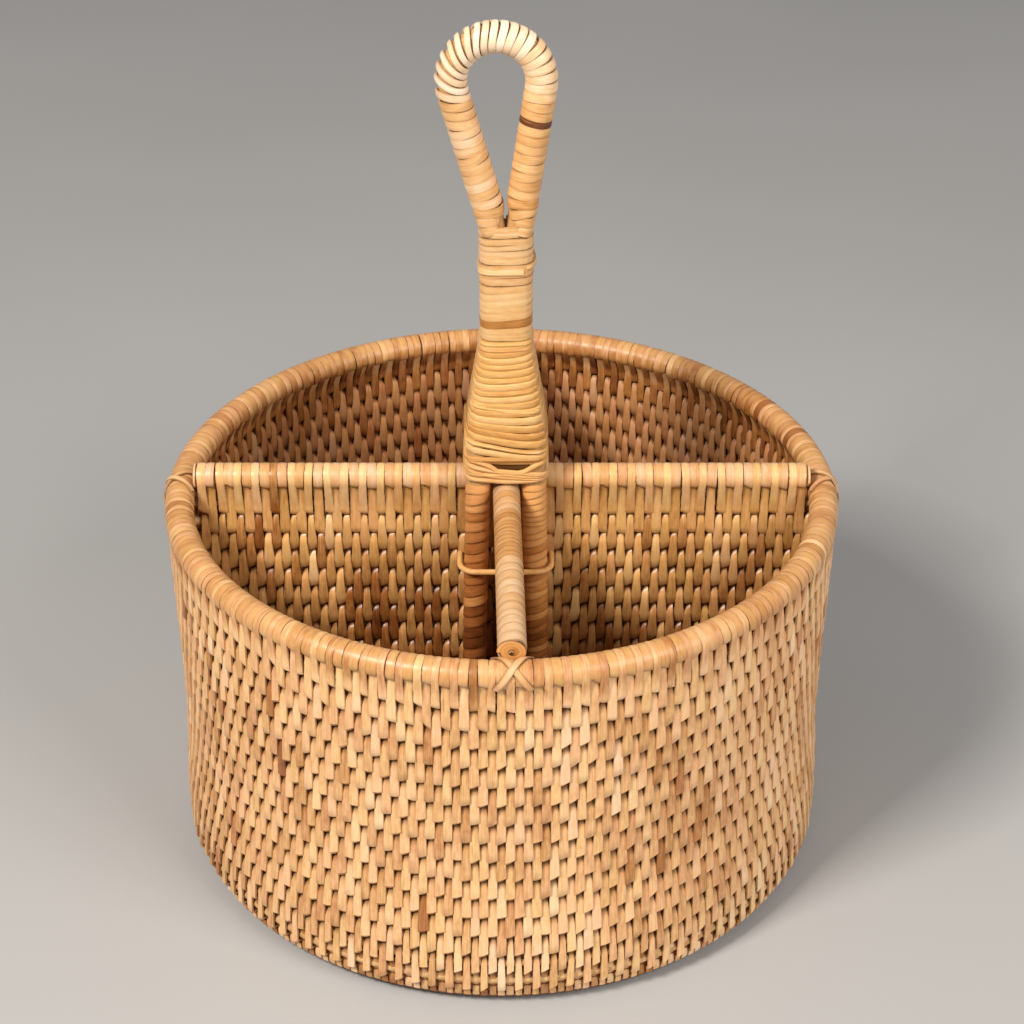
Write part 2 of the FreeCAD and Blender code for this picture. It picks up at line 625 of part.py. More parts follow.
nodes = {
    "base_hoop": base_hoop(),
    "base_ribs": base_ribs(),
    "base_weave": base_weave(),
    "wall_hoops": wall_hoops(),
    "rim_core": rim_core(),
    "handle_rod": handle_rod(),
    "rear_strut_left": rear_strut(-1),
    "rear_strut_right": rear_strut(1),
    "loop_binding": loop_binding(),
    "upper_band": bundle_wrap(UPPER_BAND_STATIONS, SLIP, BAND_THICKNESS),
    "lower_band": bundle_wrap(LOWER_BAND_STATIONS, SLIP, BAND_THICKNESS),
    "shaft_binding": bundle_wrap(SHAFT_STATIONS, SLIP, SHAFT_BINDING),
    "neck_binding": neck_binding(),
    "front_left_leg_binding": leg_binding(-1, FRONT_LEG_Y, HANDLE_ROD_DIAMETER),
    "front_right_leg_binding": leg_binding(1, FRONT_LEG_Y, HANDLE_ROD_DIAMETER),
    "rear_left_leg_binding": leg_binding(-1, REAR_LEG_Y, STRUT_DIAMETER),
    "rear_right_leg_binding": leg_binding(1, REAR_LEG_Y, STRUT_DIAMETER),
    "front_leg_tie": leg_tie(FRONT_LEG_Y, HANDLE_ROD_DIAMETER),
    "rear_leg_tie": leg_tie(REAR_LEG_Y, STRUT_DIAMETER),
}
for name, sector in SECTORS.items():
    nodes[name + "_wall_weave"] = wall_weave(sector)
    nodes[name + "_rim_binding"] = rim_binding(sector)
for name, divider in DIVIDERS.items():
    nodes[name + "_rail_core"] = divider.rail_core()
    nodes[name + "_rail_binding"] = divider.rail_binding()
    nodes[name + "_ribs"] = divider.ribs()
    nodes[name + "_weave"] = divider.weave()
for name, azimuth in LASHING_AZIMUTHS.items():
    nodes[name + "_rim_lashing"] = rim_lashing(azimuth)
nodes["front_weave"] = nodes["front_weave"].cut(tie_hole(FRONT_LEG_Y, HANDLE_ROD_DIAMETER))
nodes["back_weave"] = nodes["back_weave"].cut(tie_hole(REAR_LEG_Y, STRUT_DIAMETER))

os.makedirs("parts", exist_ok=True)
for name, shape in nodes.items():
    shape.exportStep(os.path.join("parts", name + ".step"))
    print(name, len(shape.Solids), "solids", round(shape.Volume, 1), "mm3, valid:", shape.isValid())
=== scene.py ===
import logging
import math
from dataclasses import dataclass
from enum import Enum
from typing import Callable, Sequence

import bmesh
import bpy
import numpy as np
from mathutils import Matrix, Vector


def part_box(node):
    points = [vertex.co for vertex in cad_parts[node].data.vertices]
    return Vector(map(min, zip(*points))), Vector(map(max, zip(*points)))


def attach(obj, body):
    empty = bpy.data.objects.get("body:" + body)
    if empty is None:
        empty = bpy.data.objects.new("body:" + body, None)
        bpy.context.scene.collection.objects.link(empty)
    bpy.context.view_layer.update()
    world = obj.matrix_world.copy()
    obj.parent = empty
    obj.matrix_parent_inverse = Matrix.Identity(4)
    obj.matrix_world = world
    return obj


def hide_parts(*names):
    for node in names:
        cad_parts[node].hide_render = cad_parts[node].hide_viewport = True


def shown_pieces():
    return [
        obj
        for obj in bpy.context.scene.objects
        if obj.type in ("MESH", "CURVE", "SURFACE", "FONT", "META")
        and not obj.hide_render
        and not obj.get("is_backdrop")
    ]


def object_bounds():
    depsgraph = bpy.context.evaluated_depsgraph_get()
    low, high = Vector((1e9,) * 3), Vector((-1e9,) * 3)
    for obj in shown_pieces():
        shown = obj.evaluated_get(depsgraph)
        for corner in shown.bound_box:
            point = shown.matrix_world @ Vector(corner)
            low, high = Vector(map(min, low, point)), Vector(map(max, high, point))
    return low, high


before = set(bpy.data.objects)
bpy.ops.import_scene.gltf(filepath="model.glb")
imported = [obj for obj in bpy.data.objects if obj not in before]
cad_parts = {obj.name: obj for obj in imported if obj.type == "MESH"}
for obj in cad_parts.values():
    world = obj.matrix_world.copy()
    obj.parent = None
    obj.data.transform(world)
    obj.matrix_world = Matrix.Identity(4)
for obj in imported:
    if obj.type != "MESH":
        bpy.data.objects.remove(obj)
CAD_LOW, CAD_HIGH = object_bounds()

# Round woven rattan caddy. The basket is worked in stitches of split peel that each wrap two hoops, the rims
# and rails are wound or folded over with the same peel, and the handle is bound with peel and round cane.
# Courses are worked out in millimetres and written to the meshes in metres, in the frame of the CAD model.

LOG = logging.getLogger("utensil_caddy")
Array = np.ndarray
MM = 0.001
UP = np.array([0.0, 0.0, 1.0])
BODY = "root"
UV_NAME = "Peel"

# ---- peel and cane, in millimetres ----
PEEL_THICKNESS = 0.75
PEEL_CROWN = 0.16
RAIL_PEEL_THICKNESS = 0.7
WALL_COLUMNS = 248
PANEL_COLUMN_PITCH = 3.31
SKIN_SINK = 0.05
FOOT_TUCK = 5.0
SPACER_WIDTH = 3.7
SPACER_THICKNESS = 1.2
SPACER_DROP = 0.6
PACKING_DIAMETER = 5.6
BASE_BORDER_WIDTH = 9.0
STITCH_REACH = 2.4
SHORTEST_STITCH = 4.0
TUCK_IN, TUCK_DOWN = 0.7, 2.0
COIL_PEEL_WIDTH = 1.5
COIL_MARGIN, COIL_HOLE_RADIUS = 0.9, 0.95
CLOSE_PITCH, CLOSE_LIMIT, OPEN_PITCH = 2.7, 3.6, 4.9
LOOP_PITCHES = (3.4, 2.8)
COLLAR_HEIGHT = 4.2
NECK_CANE_DIAMETER = 2.2
LASHING_WIDTH, LASHING_THICKNESS = 2.3, 0.55
LASHING_SPREAD, LASHING_LIFT, LASHING_CROSSING_RISE = 6.2, 0.42, 0.34

# ---- angles in a folded border's section, in degrees from the outward side up ----
LONG_FOLD_DEG = -14
FLANK_DEG = (-44, 10)
LASHING_DEG = (-22.0, 148.0)

# ---- how finely the strips are divided ----
SHARP_ANGLE_DEG = 40.0
CANE_SIDES = 8
FOOT_CELLS = 10
FOLD_STATIONS = 23
SPACER_STATIONS = 180
BORDER_STATIONS = 120
COIL_TURNS, COIL_CELLS = 2.9, 84

# ---- how the grain of one strip is kept apart from the next one's, in millimetres of the map ----
GRAIN_LENGTH = 4000
GRAIN_SIDE = 97
UNDERSIDE_SHIFT = 9.0

# ---- tones, from 0 for dark peel to 1 for pale ----
DARK_STITCH_SHARE, DARK_STITCH_DROP = 0.012, 0.26
DARK_FOLD_SHARE, DARK_FOLD_DROP = 0.015, 0.24
# Divider stitches run from dark at the lowest row to pale at the top: painted shade deep in the basket.
PANEL_SHADE_TONES = (0.02, 0.63)
# The close turns of a rail take a darker tone: painted shade between the close turns.
CLOSE_SHADE_TONE, OPEN_TONE = 0.54, 0.68
LEG_TONE_SHARES = (0.0, 0.12, 0.5, 1.0)
# Down each leg the tone falls from pale at the top to dark at the foot: painted shade where the leg runs down
# into the basket.
LEG_SHADE_TONES = (0.98, 0.66, 0.30, -0.32)


class Slot(Enum):
    """Material slots of the record, one for each kind of piece."""

    WEAVE = "rattan_weave"
    BINDING = "rattan_binding"
    HANDLE = "handle_binding"
    LEG = "leg_binding"
    CANE = "rattan_cane"
    LASHING = "lashing_peel"


# ---------------------------------------------------------------- places in the frame
def node_points(node: str) -> Array:
    """Read the vertices of a CAD node.

    Args:
        node: The node's name.

    Returns:
        The points in millimetres, one a row.
    """
    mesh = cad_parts[node].data
    points = np.empty(len(mesh.vertices) * 3, np.float32)
    mesh.vertices.foreach_get("co", points)
    return points.reshape(-1, 3).astype(float) / MM


def node_box(node: str) -> tuple[Array, Array]:
    """Give a CAD node's box.

    Args:
        node: The node's name.

    Returns:
        Its lowest and highest corner in millimetres.
    """
    low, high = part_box(node)
    return np.array(low) / MM, np.array(high) / MM


def grouped(values: Array, gap: float) -> list[Array]:
    """Group values that lie closer together than a gap.

    Args:
        values: The values.
        gap: The least distance between two groups.

    Returns:
        The indices of each group, from the lowest up.
    """
    order = np.argsort(values)
    breaks = np.flatnonzero(np.diff(values[order]) > gap) + 1
    return np.split(order, breaks)


def middle(values: Array) -> float:
    """Give the middle between the lowest and the highest value.

    Args:
        values: The values.

    Returns:
        Their middle.
    """
    return float(values.min() + values.max()) / 2


def bar_rows(node: str, axis: int) -> Array:
    """Read where the parallel bars of a node lie along one axis.

    Args:
        node: The node of ribs.
        axis: The axis across the bars.

    Returns:
        The middle of each bar, from the lowest up.
    """
    values = node_points(node)[:, axis]
    return np.array([middle(values[group]) for group in grouped(values, 1.0)])


@dataclass(frozen=True)
class WallProfile:
    """The round wall's hoops and its outer skin, by height."""

    hoop_heights: Array
    hoop_radii: Array
    skin_heights: Array
    skin_radii: Array

    @classmethod
    def read(cls) -> "WallProfile":
        """Read the profile from the frame.

        Returns:
            The profile.
        """
        hoops = node_points("wall_hoops")
        radii = np.hypot(hoops[:, 0], hoops[:, 1])
        groups = grouped(hoops[:, 2], 1.0)
        weave = node_points("front_left_wall_weave")
        skin_radii = np.hypot(weave[:, 0], weave[:, 1])
        levels = np.round(weave[:, 2], 2)
        heights = np.unique(levels)
        widest = np.array([skin_radii[levels == height].max() for height in heights])
        outside = widest > radii.min()
        return cls(
            np.array([middle(hoops[group, 2]) for group in groups]),
            np.array([middle(radii[group]) for group in groups]),
            heights[outside],
            widest[outside],
        )

    def middle_radius(self, height: Array) -> Array:
        """Give the radius of the wall's middle layer.

        Args:
            height: Heights in millimetres.

        Returns:
            The radius at each height.
        """
        return np.interp(height, self.hoop_heights, self.hoop_radii)

    def skin_radius(self, height: Array) -> Array:
        """Give the radius of the wall's outside.

        Args:
            height: Heights in millimetres.

        Returns:
            The radius at each height.
        """
        return np.interp(height, self.skin_heights, self.skin_radii)


# ---------------------------------------------------------------- stock
@dataclass(frozen=True)
class Stock:
    """A template length of peel or cane.

    Its points are (station, across, lift): the station counts along the strip, and across and lift run
    from -1 to 1.
    """

    mesh: bpy.types.Mesh
    stations: int
    closed: bool
    points: Array
    corner_vertices: Array
    corner_stations: Array

    @classmethod
    def from_bmesh(cls, bm: bmesh.types.BMesh, points: Array, stations: int, closed: bool) -> "Stock":
        """Keep a finished template.

        Args:
            bm: The template's geometry, which is freed.
            points: Station, across and lift of each vertex.
            stations: How many stations it has.
            closed: Whether its last station runs into its first.

        Returns:
            The stock.
        """
        mesh = bpy.data.meshes.new("stock")
        bm.to_mesh(mesh)
        bm.free()
        corners = np.empty(len(mesh.loops), np.int32)
        mesh.loops.foreach_get("vertex_index", corners)
        stations_at = points[corners, 0].copy()
        if closed:
            starts = np.empty(len(mesh.polygons), np.int32)
            mesh.polygons.foreach_get("loop_start", starts)
            face_of = np.searchsorted(starts, np.arange(len(corners)), side="right") - 1
            last = np.zeros(len(starts), bool)
            np.logical_or.at(last, face_of, stations_at == stations - 1)
            stations_at[last[face_of] & (stations_at == 0)] = stations
        return cls(mesh, stations, closed, points, corners, stations_at)


def flat_stock(cells: int) -> Stock:
    """Make an open strip of flat peel, two cells across.

    Args:
        cells: How many cells it has along its length.

    Returns:
        The stock.
    """
    bm = bmesh.new()
    bmesh.ops.create_grid(bm, x_segments=cells, y_segments=2, size=1.0)
    bmesh.ops.solidify(bm, geom=bm.faces[:], thickness=-2.0)
    bmesh.ops.recalc_face_normals(bm, faces=bm.faces[:])
    raw = np.array([vertex.co for vertex in bm.verts])
    lift = np.where(raw[:, 2] > (raw[:, 2].min() + raw[:, 2].max()) / 2, 1.0, -1.0)
    points = np.column_stack([np.round((raw[:, 0] + 1) / 2 * cells), raw[:, 1], lift])
    return Stock.from_bmesh(bm, points, cells + 1, closed=False)


def ring_stock(stations: int, section: Sequence[tuple[float, float]]) -> Stock:
    """Make a closed ring of peel or cane by spinning its section.

    Args:
        stations: How many stations the ring has.
        section: The section's corners as (across, lift), anticlockwise.

    Returns:
        The stock.
    """
    bm = bmesh.new()
    corners = [bm.verts.new((2.0 + lift, 0.0, across)) for across, lift in section]
    edges = [bm.edges.new(pair) for pair in zip(corners, corners[1:] + corners[:1])]
    bmesh.ops.spin(
        bm, geom=corners + edges, cent=(0, 0, 0), axis=(0, 0, 1), dvec=(0, 0, 0),
        angle=math.tau, steps=stations, use_merge=True, use_duplicate=False,
    )
    bmesh.ops.recalc_face_normals(bm, faces=bm.faces[:])
    raw = np.array([vertex.co for vertex in bm.verts])
    turn = np.arctan2(raw[:, 1], raw[:, 0]) / math.tau * stations
    station = np.mod(np.round(turn), stations)
    points = np.column_stack([station, raw[:, 2], np.hypot(raw[:, 0], raw[:, 1]) - 2.0])
    return Stock.from_bmesh(bm, points, stations, closed=True)


def cane_stock(cells: int) -> Stock:
    """Make an open length of round cane.

    Args:
        cells: How many cells it has along its length.

    Returns:
        The stock.
    """
    bm = bmesh.new()
    bmesh.ops.create_cone(bm, cap_ends=True, segments=CANE_SIDES, radius1=1.0, radius2=1.0, depth=2.0)
    sides_up = [edge for edge in bm.edges if abs(edge.verts[0].co.z - edge.verts[1].co.z) > 1.0]
    bmesh.ops.subdivide_edges(bm, edges=sides_up, cuts=cells - 1, use_grid_fill=True)
    bmesh.ops.recalc_face_normals(bm, faces=bm.faces[:])
    raw = np.array([vertex.co for vertex in bm.verts])
    station = np.round((raw[:, 2] + 1) / 2 * cells)
    points = np.column_stack([station, raw[:, 0], raw[:, 1]])
    return Stock.from_bmesh(bm, points, cells + 1, closed=False)


FLAT_SECTION = ((-1.0, -1.0), (1.0, -1.0), (1.0, 1.0), (0.0, 1.0), (-1.0, 1.0))
ROUND_SECTION = tuple(
    (math.cos(turn), math.sin(turn)) for turn in np.linspace(0, math.tau, CANE_SIDES + 1)[:-1]
)


# ---------------------------------------------------------------- courses
@dataclass
class Course:
    """Where a set of strips runs, by strip and station, in millimetres."""

    centre: Array
    normal: Array
    width: Array
    thickness: Array
    tone: Array
    # depth: how far each station stands out, negative on the inner side; the finishes paint shade where it is
    # low and on the inner side.
    depth: Array
    crown: float = PEEL_CROWN
    shear: Array | None = None
    shear_along: Array | None = None

    def tangents(self, closed: bool) -> Array:
        """Work out the direction along each strip.

        Args:
            closed: Whether the strips close on themselves.

        Returns:
            Unit vectors by strip and station.
        """
        if closed:
            step = np.roll(self.centre, -1, axis=1) - np.roll(self.centre, 1, axis=1)
        else:
            step = np.gradient(self.centre, axis=1)
        return unit(step)

    def lengths(self, closed: bool) -> Array:
        """Measure the length from each strip's start to each station.

        Args:
            closed: Whether the strips close on themselves; one more station then ends the ring.

        Returns:
            Lengths in millimetres by strip and station.
        """
        centre = np.concatenate([self.centre, self.centre[:, :1]], axis=1) if closed else self.centre
        steps = np.linalg.norm(np.diff(centre, axis=1), axis=2)
        return np.concatenate([np.zeros((len(steps), 1)), np.cumsum(steps, axis=1)], axis=1)

    def part(self, chosen: Array) -> "Course":
        """Take some of the strips.

        Args:
            chosen: A mask or indices of the strips.

        Returns:
            A course of those strips.
        """
        return Course(
            self.centre[chosen], self.normal[chosen], self.width[chosen], self.thickness[chosen],
            self.tone[chosen], self.depth[chosen], self.crown,
            None if self.shear is None else self.shear[chosen],
            None if self.shear_along is None else self.shear_along[chosen],
        )


def unit(vectors: Array) -> Array:
    """Bring vectors to length one.

    Args:
        vectors: Vectors along the last axis.

    Returns:
        Unit vectors.
    """
    return vectors / np.maximum(np.linalg.norm(vectors, axis=-1, keepdims=True), 1e-9)


def add_object(name: str, data: bpy.types.ID) -> bpy.types.Object:
    """Make an object and link it to the scene.

    Args:
        name: The object's name.
        data: Its mesh, light or camera.

    Returns:
        The object.
    """
    added = bpy.data.objects.new(name, data)
    bpy.context.scene.collection.objects.link(added)
    return added


def lay(name: str, stock: Stock, course: Course, seed: int) -> bpy.types.Object:
    """Lay a copy of the stock along each strip of a course, as one object.

    Args:
        name: The object's name.
        stock: The template.
        course: Where the strips run.
        seed: Seed of the offsets that keep the strips' grain apart.

    Returns:
        The object, with its map in millimetres and its tone, depth and across attributes.
    """
    count = len(course.centre)
    bm = bmesh.new()
    for _ in range(count):
        bm.from_mesh(stock.mesh)
    mesh = bpy.data.meshes.new(name)
    bm.to_mesh(mesh)
    bm.free()

    station = stock.points[:, 0].astype(int)
    across, lift = stock.points[:, 1], stock.points[:, 2]
    tangent = course.tangents(stock.closed)
    side = unit(np.cross(course.normal, tangent))
    normal = unit(np.cross(tangent, side))
    half_width = course.width[:, station] / 2
    rise = course.thickness[:, station] / 2 * lift
    rise = rise + course.crown * (1 - across ** 2) * np.maximum(lift, 0)
    places = course.centre[:, station] + side[:, station] * (half_width * across)[..., None]
    places = places + normal[:, station] * rise[..., None]
    if course.shear is not None:
        places = places + course.shear_along[:, station] * (course.shear[:, station] * across)[..., None]
    mesh.vertices.foreach_set("co", (places * MM).reshape(-1).astype(np.float32))

    rng = np.random.default_rng(seed)
    lengths = course.lengths(stock.closed)
    offsets = rng.uniform(0, GRAIN_LENGTH, count)
    corners = stock.corner_vertices
    along = lengths[:, stock.corner_stations.astype(int)] + offsets[:, None]
    sideways = half_width[:, corners] * across[corners]
    sideways = sideways + UNDERSIDE_SHIFT * (lift[corners] < 0) + offsets[:, None] % GRAIN_SIDE
    uv = np.stack([along, sideways], axis=-1).reshape(-1).astype(np.float32)
    mesh.uv_layers.new(name=UV_NAME).data.foreach_set("uv", uv)
    tone = course.tone if course.tone.ndim == 2 else np.repeat(course.tone[:, None], stock.stations, axis=1)
    shown_across = np.broadcast_to(across * (np.abs(lift) > 0.5), (count, len(across)))
    hue = np.broadcast_to(rng.random((count, 1)), (count, len(across)))
    for key, values in (
        ("tone", tone[:, station]), ("depth", course.depth[:, station]),
        ("across", shown_across), ("hue", hue),
    ):
        attribute = mesh.attributes.new(key, "FLOAT", "POINT")
        attribute.data.foreach_set("value", np.ascontiguousarray(values).reshape(-1).astype(np.float32))
    mesh.polygons.foreach_set("use_smooth", np.ones(len(mesh.polygons), bool))
    mesh.set_sharp_from_angle(angle=math.radians(SHARP_ANGLE_DEG))
    mesh.update()
    return add_object(name, mesh)


# ---------------------------------------------------------------- stitched weave
@dataclass(frozen=True)
class StitchShape:
    """The loop that one stitch makes round two bars: shares of its two rows, and how far it stands out."""

    width: tuple[float, ...]
    out: tuple[float, ...]
    inner_width: tuple[float, ...] = (0.56, 0.68, 0.77, 0.80, 1.00, 1.27, 1.29, 1.16)
    inner_out: tuple[float, ...] = (0.20, 1.10, 2.20, 2.52, 2.40, 1.90, 1.36, 0.80)
    down: tuple[float, ...] = (0.05, 0.11, 0.28, 0.50, 1.00, 1.45, 1.80, 1.90)
    slant: tuple[float, ...] = (1.0, 1.0, 0.6, 0.2, 0.0, 0.3, 0.9, 1.0)

    @property
    def stations(self) -> int:
        """How many stations the closed loop has."""
        return 2 * len(self.down)

    def ring(self) -> tuple[Array, Array, Array, Array]:
        """Run down the outside and up the inside.

        Returns:
            Down, out, width and slant at each station of the closed loop.
        """
        down, slant = np.array(self.down), np.array(self.slant)
        return (
            np.concatenate([down, down[::-1]]),
            np.concatenate([np.array(self.out), -np.array(self.inner_out[::-1])]),
            np.concatenate([np.array(self.width), np.array(self.inner_width[::-1])]),
            np.concatenate([slant, slant[::-1]]),
        )


WALL_STITCH = StitchShape(
    width=(0.62, 0.66, 0.80, 0.96, 1.05, 1.11, 1.14, 1.10),
    out=(0.05, 0.38, 1.12, 1.76, 2.08, 2.38, 2.54, 1.95),
)
PANEL_STITCH = StitchShape(width=StitchShape.inner_width, out=StitchShape.inner_out)


@dataclass(frozen=True)
class StitchJitter:
    """Standard deviations of what differs from stitch to stitch."""

    end: float = 0.16
    reach_share: float = 0.04
    reach: float = 0.05
    width_share: float = 0.035
    tilt: float = 0.10
    sideways: float = 0.05
    slant: float = 0.28


@dataclass
class StitchPlan:
    """Which stitches a woven field has: the column, both ends and the looks of each."""

    column: Array
    top: Array
    bottom: Array
    pitch: float
    seed: int
    shape: StitchShape = WALL_STITCH
    lean: float = 0.62
    tone_spread: float = 0.075
    tone_middle: Array | float = 0.55
    out_scale: float = 0.97
    narrow_below: float = -1e9
    narrow_share: float = 0.8
    jitter: StitchJitter = StitchJitter()

    def loops(self) -> dict[str, Array]:
        """Work out each stitch's stations in the field's own plane.

        Returns:
            Sideways shift, height, outward distance, their normals, width, shear, tone and depth.
        """
        rng = np.random.default_rng(self.seed)
        count, jitter = len(self.column), self.jitter
        down, out, width, slant = self.shape.ring()
        top = self.top + rng.normal(0, jitter.end, count)
        bottom = self.bottom + rng.normal(0, jitter.end, count)
        height = top[:, None] - down / 2 * (top - bottom)[:, None]
        reach = rng.normal(1.0, jitter.reach_share, (count, 1))
        out = self.out_scale * (out * reach + rng.normal(0, jitter.reach, (count, len(down))))
        step_down = np.roll(height, -1, axis=1) - np.roll(height, 1, axis=1)
        step_out = np.roll(out, -1, axis=1) - np.roll(out, 1, axis=1)
        size = np.hypot(step_down, step_out)
        tight = np.where(self.bottom < self.narrow_below, self.narrow_share, 1.0)
        widths = width * self.pitch * tight[:, None] * rng.normal(1.0, jitter.width_share, (count, 1))
        tilt = rng.normal(0, jitter.tilt, (count, 1)) * (1 - down)
        tone = self.tone_middle + rng.normal(0, self.tone_spread, count)
        tone[rng.random(count) < DARK_STITCH_SHARE] -= DARK_STITCH_DROP
        return {
            "sideways": tilt + rng.normal(0, jitter.sideways, (count, 1)),
            "height": height,
            "out": out,
            "normal_out": -step_down / size,
            "normal_down": -step_out / size,
            "width": widths,
            "shear": slant * (self.lean + rng.normal(0, jitter.slant, count))[:, None],
            "tone": np.clip(tone, 0, 1),
            # depth: the recessed parts and the inner side of a stitch are painted darker by the finish, as
            # painted shade.
            "depth": np.clip(out / (STITCH_REACH * self.out_scale), -1, 1),
        }


def course_from(loops: dict[str, Array], centre: Array, outward: Array, downward: Array) -> Course:
    """Turn planar loops into a course on a field.

    Args:
        loops: The loops of a stitch plan.
        centre: Points of the field's middle layer, by stitch and station.
        outward: Unit vectors out of the field, by stitch and station.
        downward: Unit vector down the rows.

    Returns:
        The course.
    """
    normal = outward * loops["normal_out"][..., None] + downward * loops["normal_down"][..., None]
    return Course(
        centre=centre + outward * loops["out"][..., None],
        normal=unit(normal),
        width=loops["width"],
        thickness=np.full_like(loops["width"], PEEL_THICKNESS),
        tone=loops["tone"],
        depth=loops["depth"],
        shear=loops["shear"],
        shear_along=np.broadcast_to(-downward, centre.shape),
    )


def brick_rows(columns: int, bounds: Array, starts: tuple[int, int]) -> tuple[Array, Array, Array]:
    """Lay stitches of two rows in bricks.

    Args:
        columns: How many columns the field has.
        bounds: Heights between the rows, from the top down.
        starts: Index of the bound where the first stitch starts, in even and in odd columns.

    Returns:
        The column, top and bottom of each stitch.
    """
    found = []
    for parity, first in enumerate(starts):
        for start in range(first, len(bounds) - 2, 2):
            for column in range(parity, columns, 2):
                found.append((column, bounds[start], bounds[start + 2]))
    column, top, bottom = (np.array(values, float) for values in zip(*found))
    return column, top, bottom


def row_bounds(rows: Array) -> Array:
    """Give the heights halfway between neighbouring bars, from the top down.

    Args:
        rows: The heights of the bars.

    Returns:
        One height above the top bar, one between each two bars and one below the lowest.
    """
    rows = np.sort(rows)[::-1]
    pitch = float(np.mean(-np.diff(rows)))
    return np.concatenate([rows + pitch / 2, [rows[-1] - pitch / 2]])


def polar(radius: Array, azimuth: Array, height: Array) -> Array:
    """Turn radius, azimuth and height into points.

    Args:
        radius: Radii in millimetres.
        azimuth: Azimuths in radians.
        height: Heights in millimetres.

    Returns:
        Points along a new last axis.
    """
    radius, azimuth, height = np.broadcast_arrays(radius, azimuth, height)
    return np.stack([radius * np.cos(azimuth), radius * np.sin(azimuth), height], axis=-1)


def first_azimuth(course: Course) -> Array:
    """Give the azimuth where each strip of a course starts.

    Args:
        course: The course.

    Returns:
        Azimuths in radians.
    """
    return np.arctan2(course.centre[:, 0, 1], course.centre[:, 0, 0])


@dataclass(frozen=True)
class Sector:
    """One of the four sectors of the basket."""

    name: str
    start: float
    end: float

    def holds(self, azimuth: Array) -> Array:
        """Tell which azimuths lie in the sector.

        Args:
            azimuth: Azimuths in radians.

        Returns:
            A mask.
        """
        turned = np.mod(azimuth - self.start, math.tau)
        return turned < self.end - self.start


def read_sectors() -> list[Sector]:
    """Read the four sectors between the rim's lashings.

    Returns:
        The sectors.
    """
    places = {}
    for name in ("front", "right", "back", "left"):
        low, high = node_box(name + "_rim_lashing")
        centre = (low + high) / 2
        places[name] = math.atan2(centre[1], centre[0])
    sectors = []
    for first, second, name in (
        ("front", "right", "front_right"), ("right", "back", "back_right"),
        ("back", "left", "back_left"), ("left", "front", "front_left"),
    ):
        span = (places[second] - places[first]) % math.tau
        sectors.append(Sector(name, places[first], places[first] + span))
    return sectors


